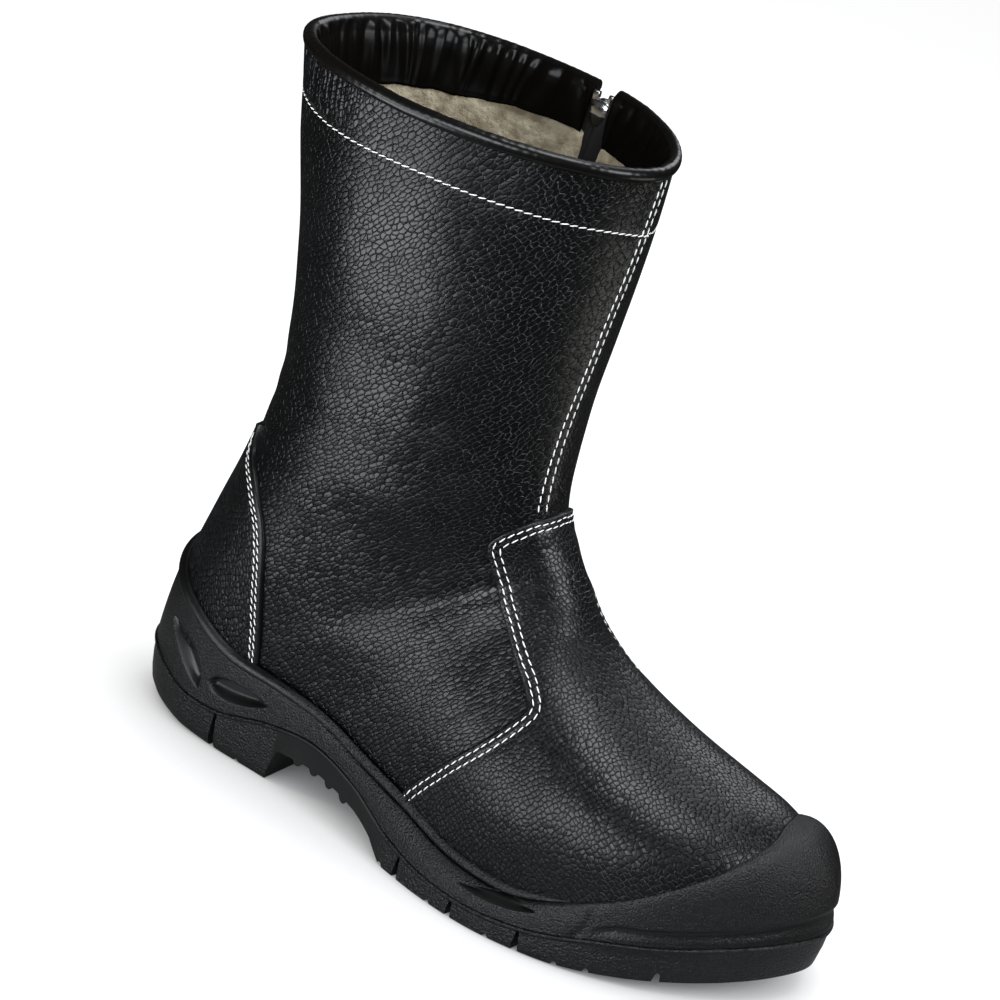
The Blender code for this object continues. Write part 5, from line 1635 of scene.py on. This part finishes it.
def plate(outline, low, high, bevel):
    """A flat plate from an outline in X and Z, between two Y, with round edges."""
    bm = bmesh.new()
    face = bm.faces.new([bm.verts.new((x, low, z)) for x, z in outline])
    moved = bmesh.ops.extrude_face_region(bm, geom=[face])["geom"]
    verts = [item for item in moved if isinstance(item, bmesh.types.BMVert)]
    bmesh.ops.translate(bm, verts=verts, vec=(0, high - low, 0))
    bmesh.ops.recalc_face_normals(bm, faces=bm.faces)
    sharp = [edge for edge in bm.edges if abs(edge.verts[0].co.y - edge.verts[1].co.y) < 1e-6]
    bmesh.ops.bevel(bm, geom=sharp, offset=bevel, segments=3, affect="EDGES", profile=0.5)
    return bm


def mirrored(points):
    """Half an outline in X and Z, made whole."""
    return list(points) + [(-x, z) for x, z in reversed(points)]


def joined(name, forms, at):
    """Several forms in local millimetres as one mesh at a place."""
    whole = bmesh.new()
    for bm in forms:
        mesh = bpy.data.meshes.new("form")
        bm.to_mesh(mesh)
        bm.free()
        whole.from_mesh(mesh)
        bpy.data.meshes.remove(mesh)
    bmesh.ops.translate(whole, verts=whole.verts, vec=Vector(at) - Vector((HEEL_CENTRE, 0, 0)))
    bmesh.ops.scale(whole, verts=whole.verts, vec=(MM, MM, MM))
    mesh = bpy.data.meshes.new(name)
    whole.to_mesh(mesh)
    whole.free()
    return mesh


def slider_place():
    """Where the middle of the slider's face lies."""
    x = float(zip_x(SLIDER_Z))
    return x, float(reach(x, SLIDER_Z, 1)[0]) + SLIDER_PROUD, SLIDER_Z


def ring_form(rings):
    """A closed form between rings of points, its two ends filled."""
    bm = bmesh.new()
    loops = [[bm.verts.new(point) for point in ring] for ring in rings]
    for first, second in zip(loops, loops[1:]):
        for k in range(len(first)):
            after = (k + 1) % len(first)
            bm.faces.new((first[k], first[after], second[after], second[k]))
    bm.faces.new(loops[0])
    bm.faces.new(loops[-1])
    bmesh.ops.recalc_face_normals(bm, faces=bm.faces)
    return bm


BAIL_OUT, BAIL_UP = 2.95, 3.3
BAIL_HALF_WIDTH, BAIL_HALF_THICK = 1.0, 0.62


def bail_form():
    """The bridge on the slider's face that holds the pull."""
    rings = []
    for angle in np.linspace(-0.08, math.pi + 0.08, 17):
        middle = Vector((0.0, PIN_OUT - 1.0 + BAIL_OUT * math.sin(angle), PIN_UP + BAIL_UP * math.cos(angle)))
        out = Vector((0.0, math.sin(angle) * BAIL_OUT, math.cos(angle) * BAIL_UP)).normalized()
        rings.append([middle + Vector((BAIL_HALF_WIDTH * math.cos(turn), 0, 0))
                      + out * BAIL_HALF_THICK * math.sin(turn)
                      for turn in np.linspace(0, 2 * math.pi, 10, endpoint=False)])
    return ring_form(rings)


def domed_plate(outline, low, high):
    """A plate from an outline in X and Z whose face at high bulges."""
    levels = ((0.0, 0.94), (0.0, 1.0), (0.3, 1.0), (0.55, 0.95), (0.78, 0.82), (0.92, 0.58), (1.0, 0.28))
    return ring_form([[(x * scale, low + share * (high - low), z * scale) for x, z in outline]
                      for share, scale in levels])


def build_slider():
    wing = mirrored([(0.0, 6.5), (2.6, 6.3), (4.3, 5.2), (4.6, 3.4), (4.4, 0.5), (3.7, -3.4), (3.1, -5.6),
                     (1.9, -6.5)])
    post = mirrored([(0.0, 5.6), (0.9, 4.6), (1.0, 2.2), (0.5, 0.4)])
    forms = [plate(wing, -1.5, 0.0, 0.5), domed_plate(wing, -5.4, -7.4), plate(post, -5.6, -1.3, 0.15)]
    for side in (-1, 1):
        flange = [(side * x, z) for x, z in ((3.0, -5.9), (3.7, -5.4), (4.5, -1.0), (4.6, 2.0), (3.9, 2.0),
                                             (3.6, -1.0))]
        forms += [plate(flange, -2.6, -1.2, 0.2), plate(flange, -5.7, -4.4, 0.2)]
    mesh = joined("zip_slider", [*forms, bail_form()], slider_place())
    piece("zip_slider_body", mesh, SLIDER_METAL, ["zip_slider"], turn_out=True, sharp=40)


def build_stops():
    stop = ((-1.3, -2.0), (1.3, -2.0), (1.5, 0.0), (1.3, 2.0), (-1.3, 2.0), (-1.5, 0.0))
    back, front = -TAPE_DEPTH - TAPE_THICK - 0.6, -TAPE_DEPTH + 0.6
    forms = [plate([(x + side * 3.6, z) for x, z in stop], back, front, 0.3) for side in (-1, 1)]
    mesh = joined("zip_stops", forms, zip_frame(np.array([STOPS_Z]), 0.0)[0])
    piece("zip_top_stops", mesh, ZIP_METAL, turn_out=True, sharp=40)


def rounded(width, height, corner, count=5):
    """A rectangle with round corners, anticlockwise."""
    points = []
    for cx, cz, start in ((1, 1, 0), (-1, 1, 90), (-1, -1, 180), (1, -1, 270)):
        for angle in np.radians(np.linspace(start, start + 90, count)):
            points.append((cx * (width / 2 - corner) + corner * math.cos(angle),
                           cz * (height / 2 - corner) + corner * math.sin(angle)))
    return points


def build_pull():
    """The pull tab: a flat frame at the pin, a waist and a broad bare grip."""
    x, y, z = slider_place()
    pin = (x, y + PIN_OUT, z + PIN_UP)
    width, thick, tall = PULL
    top = PULL_PIN / 2
    bottom = top - tall
    half = thick / 2
    outline = mirrored([(0.0, top), (1.9, top), (2.9, top - 0.6), (3.2, top - 1.8), (3.2, -5.4), (2.4, -7.4),
                        (2.5, -8.8), (3.3, -11.0), (width / 2, -14.0), (width / 2, bottom + 2.6),
                        (2.9, bottom + 0.9), (1.8, bottom)])
    grip = [(a, b + bottom + 7.6) for a, b in rounded(4.2, 9.4, 1.2)]
    window = [(a, b - PULL_PIN / 2 - 2.6) for a, b in rounded(4.2, 5.2, 1.0)]
    cuts = (plate(grip, half - 0.55, half + 0.6, 0.1), plate(grip, -half - 0.6, -half + 0.55, 0.1),
            plate(window, -3.0, 3.0, 0.05))
    base = joined("pull_block", [plate(outline, -half, half, 0.35)], pin)
    mesh = cut_away(base, [joined("cutter", [cut], pin) for cut in cuts], "zip_pull")
    piece("zip_pull_tab", mesh, ZIP_METAL, ["zip_pull"], body="pull", sharp=40)


# Studio

def studio_floor_finish():
    """A pale glowing floor to the camera, its glow darkened by ambient occlusion as painted contact shadow;
    the boot's leather mirrors it darker, with a painted pool of light close round the boot.
    """
    made, tree = finish("studio_floor")
    # The glow's colour is ambient occlusion: painted contact shadow under and beside the boot.
    near = add(tree, "ShaderNodeAmbientOcclusion", {"Distance": 0.09}).outputs["Color"]
    dressed(made, {"Base Color": (0.3, 0.3, 0.3, 1.0), "Emission Color": near, "Emission Strength": 0.93,
                   "Roughness": 0.9, "Specular IOR Level": 0.0})
    round_boot = add(tree, "ShaderNodeMapping", {"Vector": here(tree), "Location": (-0.55, 0.2, 0.0),
                                                 "Scale": (4.6, 7.0, 0.0)}).outputs[0]
    away = vectors(tree, "LENGTH", round_boot, result="Value")
    # Painted pool of light: the floor that the leather mirrors is paler close round the boot.
    painted_pool_tone = mixed(tree, ramp(tree, away, 0.8, 1.5), grey(0.28), grey(0.03))
    mirrored_floor = add(tree, "ShaderNodeBsdfDiffuse", {"Color": painted_pool_tone})
    seen = add(tree, "ShaderNodeLightPath").outputs["Is Camera Ray"]
    both = add(tree, "ShaderNodeMixShader", {0: seen, 1: mirrored_floor.outputs[0],
                                             2: tree.nodes["Principled BSDF"].outputs[0]})
    tree.links.new(both.outputs[0], tree.nodes["Material Output"].inputs["Surface"])
    return made


def build_studio():
    bpy.context.scene.view_settings.view_transform = "Standard"
    bpy.ops.mesh.primitive_plane_add(size=9.0, location=(0.0, 0.0, 0.0))
    floor = bpy.context.active_object
    floor.name = "studio_floor"
    floor.data.materials.append(studio_floor_finish())
    world = bpy.data.worlds.new("studio")
    world.use_nodes = True
    world.node_tree.nodes["Background"].inputs["Color"].default_value = (1.0, 1.0, 1.0, 1.0)
    world.node_tree.nodes["Background"].inputs["Strength"].default_value = 0.04
    bpy.context.scene.world = world
    for name, place, aim, size, power, colour, mirrored_light in STUDIO_LIGHTS:
        lamp = bpy.data.lights.new(name, "AREA")
        lamp.shape = "ELLIPSE"
        lamp.size, lamp.size_y = size
        lamp.energy = power
        lamp.color = colour
        made = helper(name, lamp)
        made.location = place
        made.rotation_euler = (Vector(aim) - Vector(place)).to_track_quat("-Z", "Y").to_euler()
        made.visible_camera = False
        made.visible_glossy = mirrored_light


# Name, place, aim, size, power, colour, and whether the leather mirrors it.
COOL = (0.95, 0.98, 1.03)
WARM = (1.0, 0.97, 0.9)
STUDIO_LIGHTS = (
    ("left_fill", (-0.3, -1.3, 0.12), (0.08, 0.0, 0.12), (0.8, 0.8), 8.0, COOL, False),
    ("right_fill", (1.2, -0.7, 0.15), (0.1, 0.0, 0.12), (0.8, 0.8), 6.0, COOL, False),
    ("back_fill", (1.0, 1.1, 0.8), (0.15, 0.0, 0.1), (0.8, 0.8), 8.0, COOL, False),
    ("lining_fill", (-1.05, -0.4, 0.55), (0.06, 0.04, 0.28), (0.25, 0.25), 6.0, WARM, False),
    ("left_reflector", (-0.22, -0.58, 0.003), (-0.22, -0.58, 1.0), (0.38, 0.62), 4.2, COOL, True),
    ("left_softbox", (-0.55, -1.4, 0.17), (0.1, 0.0, 0.1), (0.8, 0.32), 5.5, COOL, True),
    ("camera_softbox", (0.22, -1.5, 0.6), (0.15, 0.0, 0.05), (1.0, 0.7), 14.0, COOL, True),
    ("top_softbox", (0.42, -0.15, 1.5), (0.15, 0.0, 0.0), (0.7, 0.7), 10.5, COOL, True),
    ("high_softbox", (0.08, 0.7, 1.35), (0.15, 0.0, 0.0), (0.8, 0.9), 3.0, COOL, True),
    ("back_softbox", (0.06, 1.35, 0.95), (0.12, 0.0, 0.1), (0.7, 0.7), 3.8, COOL, True),
    ("front_softbox", (1.35, 0.05, 0.88), (0.2, 0.0, 0.05), (0.7, 0.6), 9.6, COOL, True),
    ("right_reflector", (0.72, 0.36, 0.003), (0.72, 0.36, 1.0), (0.5, 0.5), 1.25, WARM, True),
)
CAMERA_PLACE = (0.583198, -1.014295, 0.584896)
CAMERA_TURN = (67.854203, -15.274217, 32.097018)
CAMERA_LENS = 107.4616


def build_camera():
    lens = bpy.data.cameras.new("photo_camera")
    lens.lens = CAMERA_LENS
    lens.sensor_width = 36.0
    made = helper("photo_camera", lens)
    made.location = CAMERA_PLACE
    made.rotation_euler = Euler([math.radians(angle) for angle in CAMERA_TURN])
    bpy.context.scene.camera = made


build_camera()
build_studio()
leather_piece("quarters", [outer_quarter(), inner_quarter()], QUARTER_LEATHER, "upper")
VAMP_ROWS = build_vamp()
COUNTER_ROWS = build_counter()
build_collar()
build_lining()
build_footbed()
build_midsole()
build_outsole()
build_stitches(VAMP_ROWS, COUNTER_ROWS)
build_tape()
build_teeth()
build_slider()
build_stops()
build_pull()
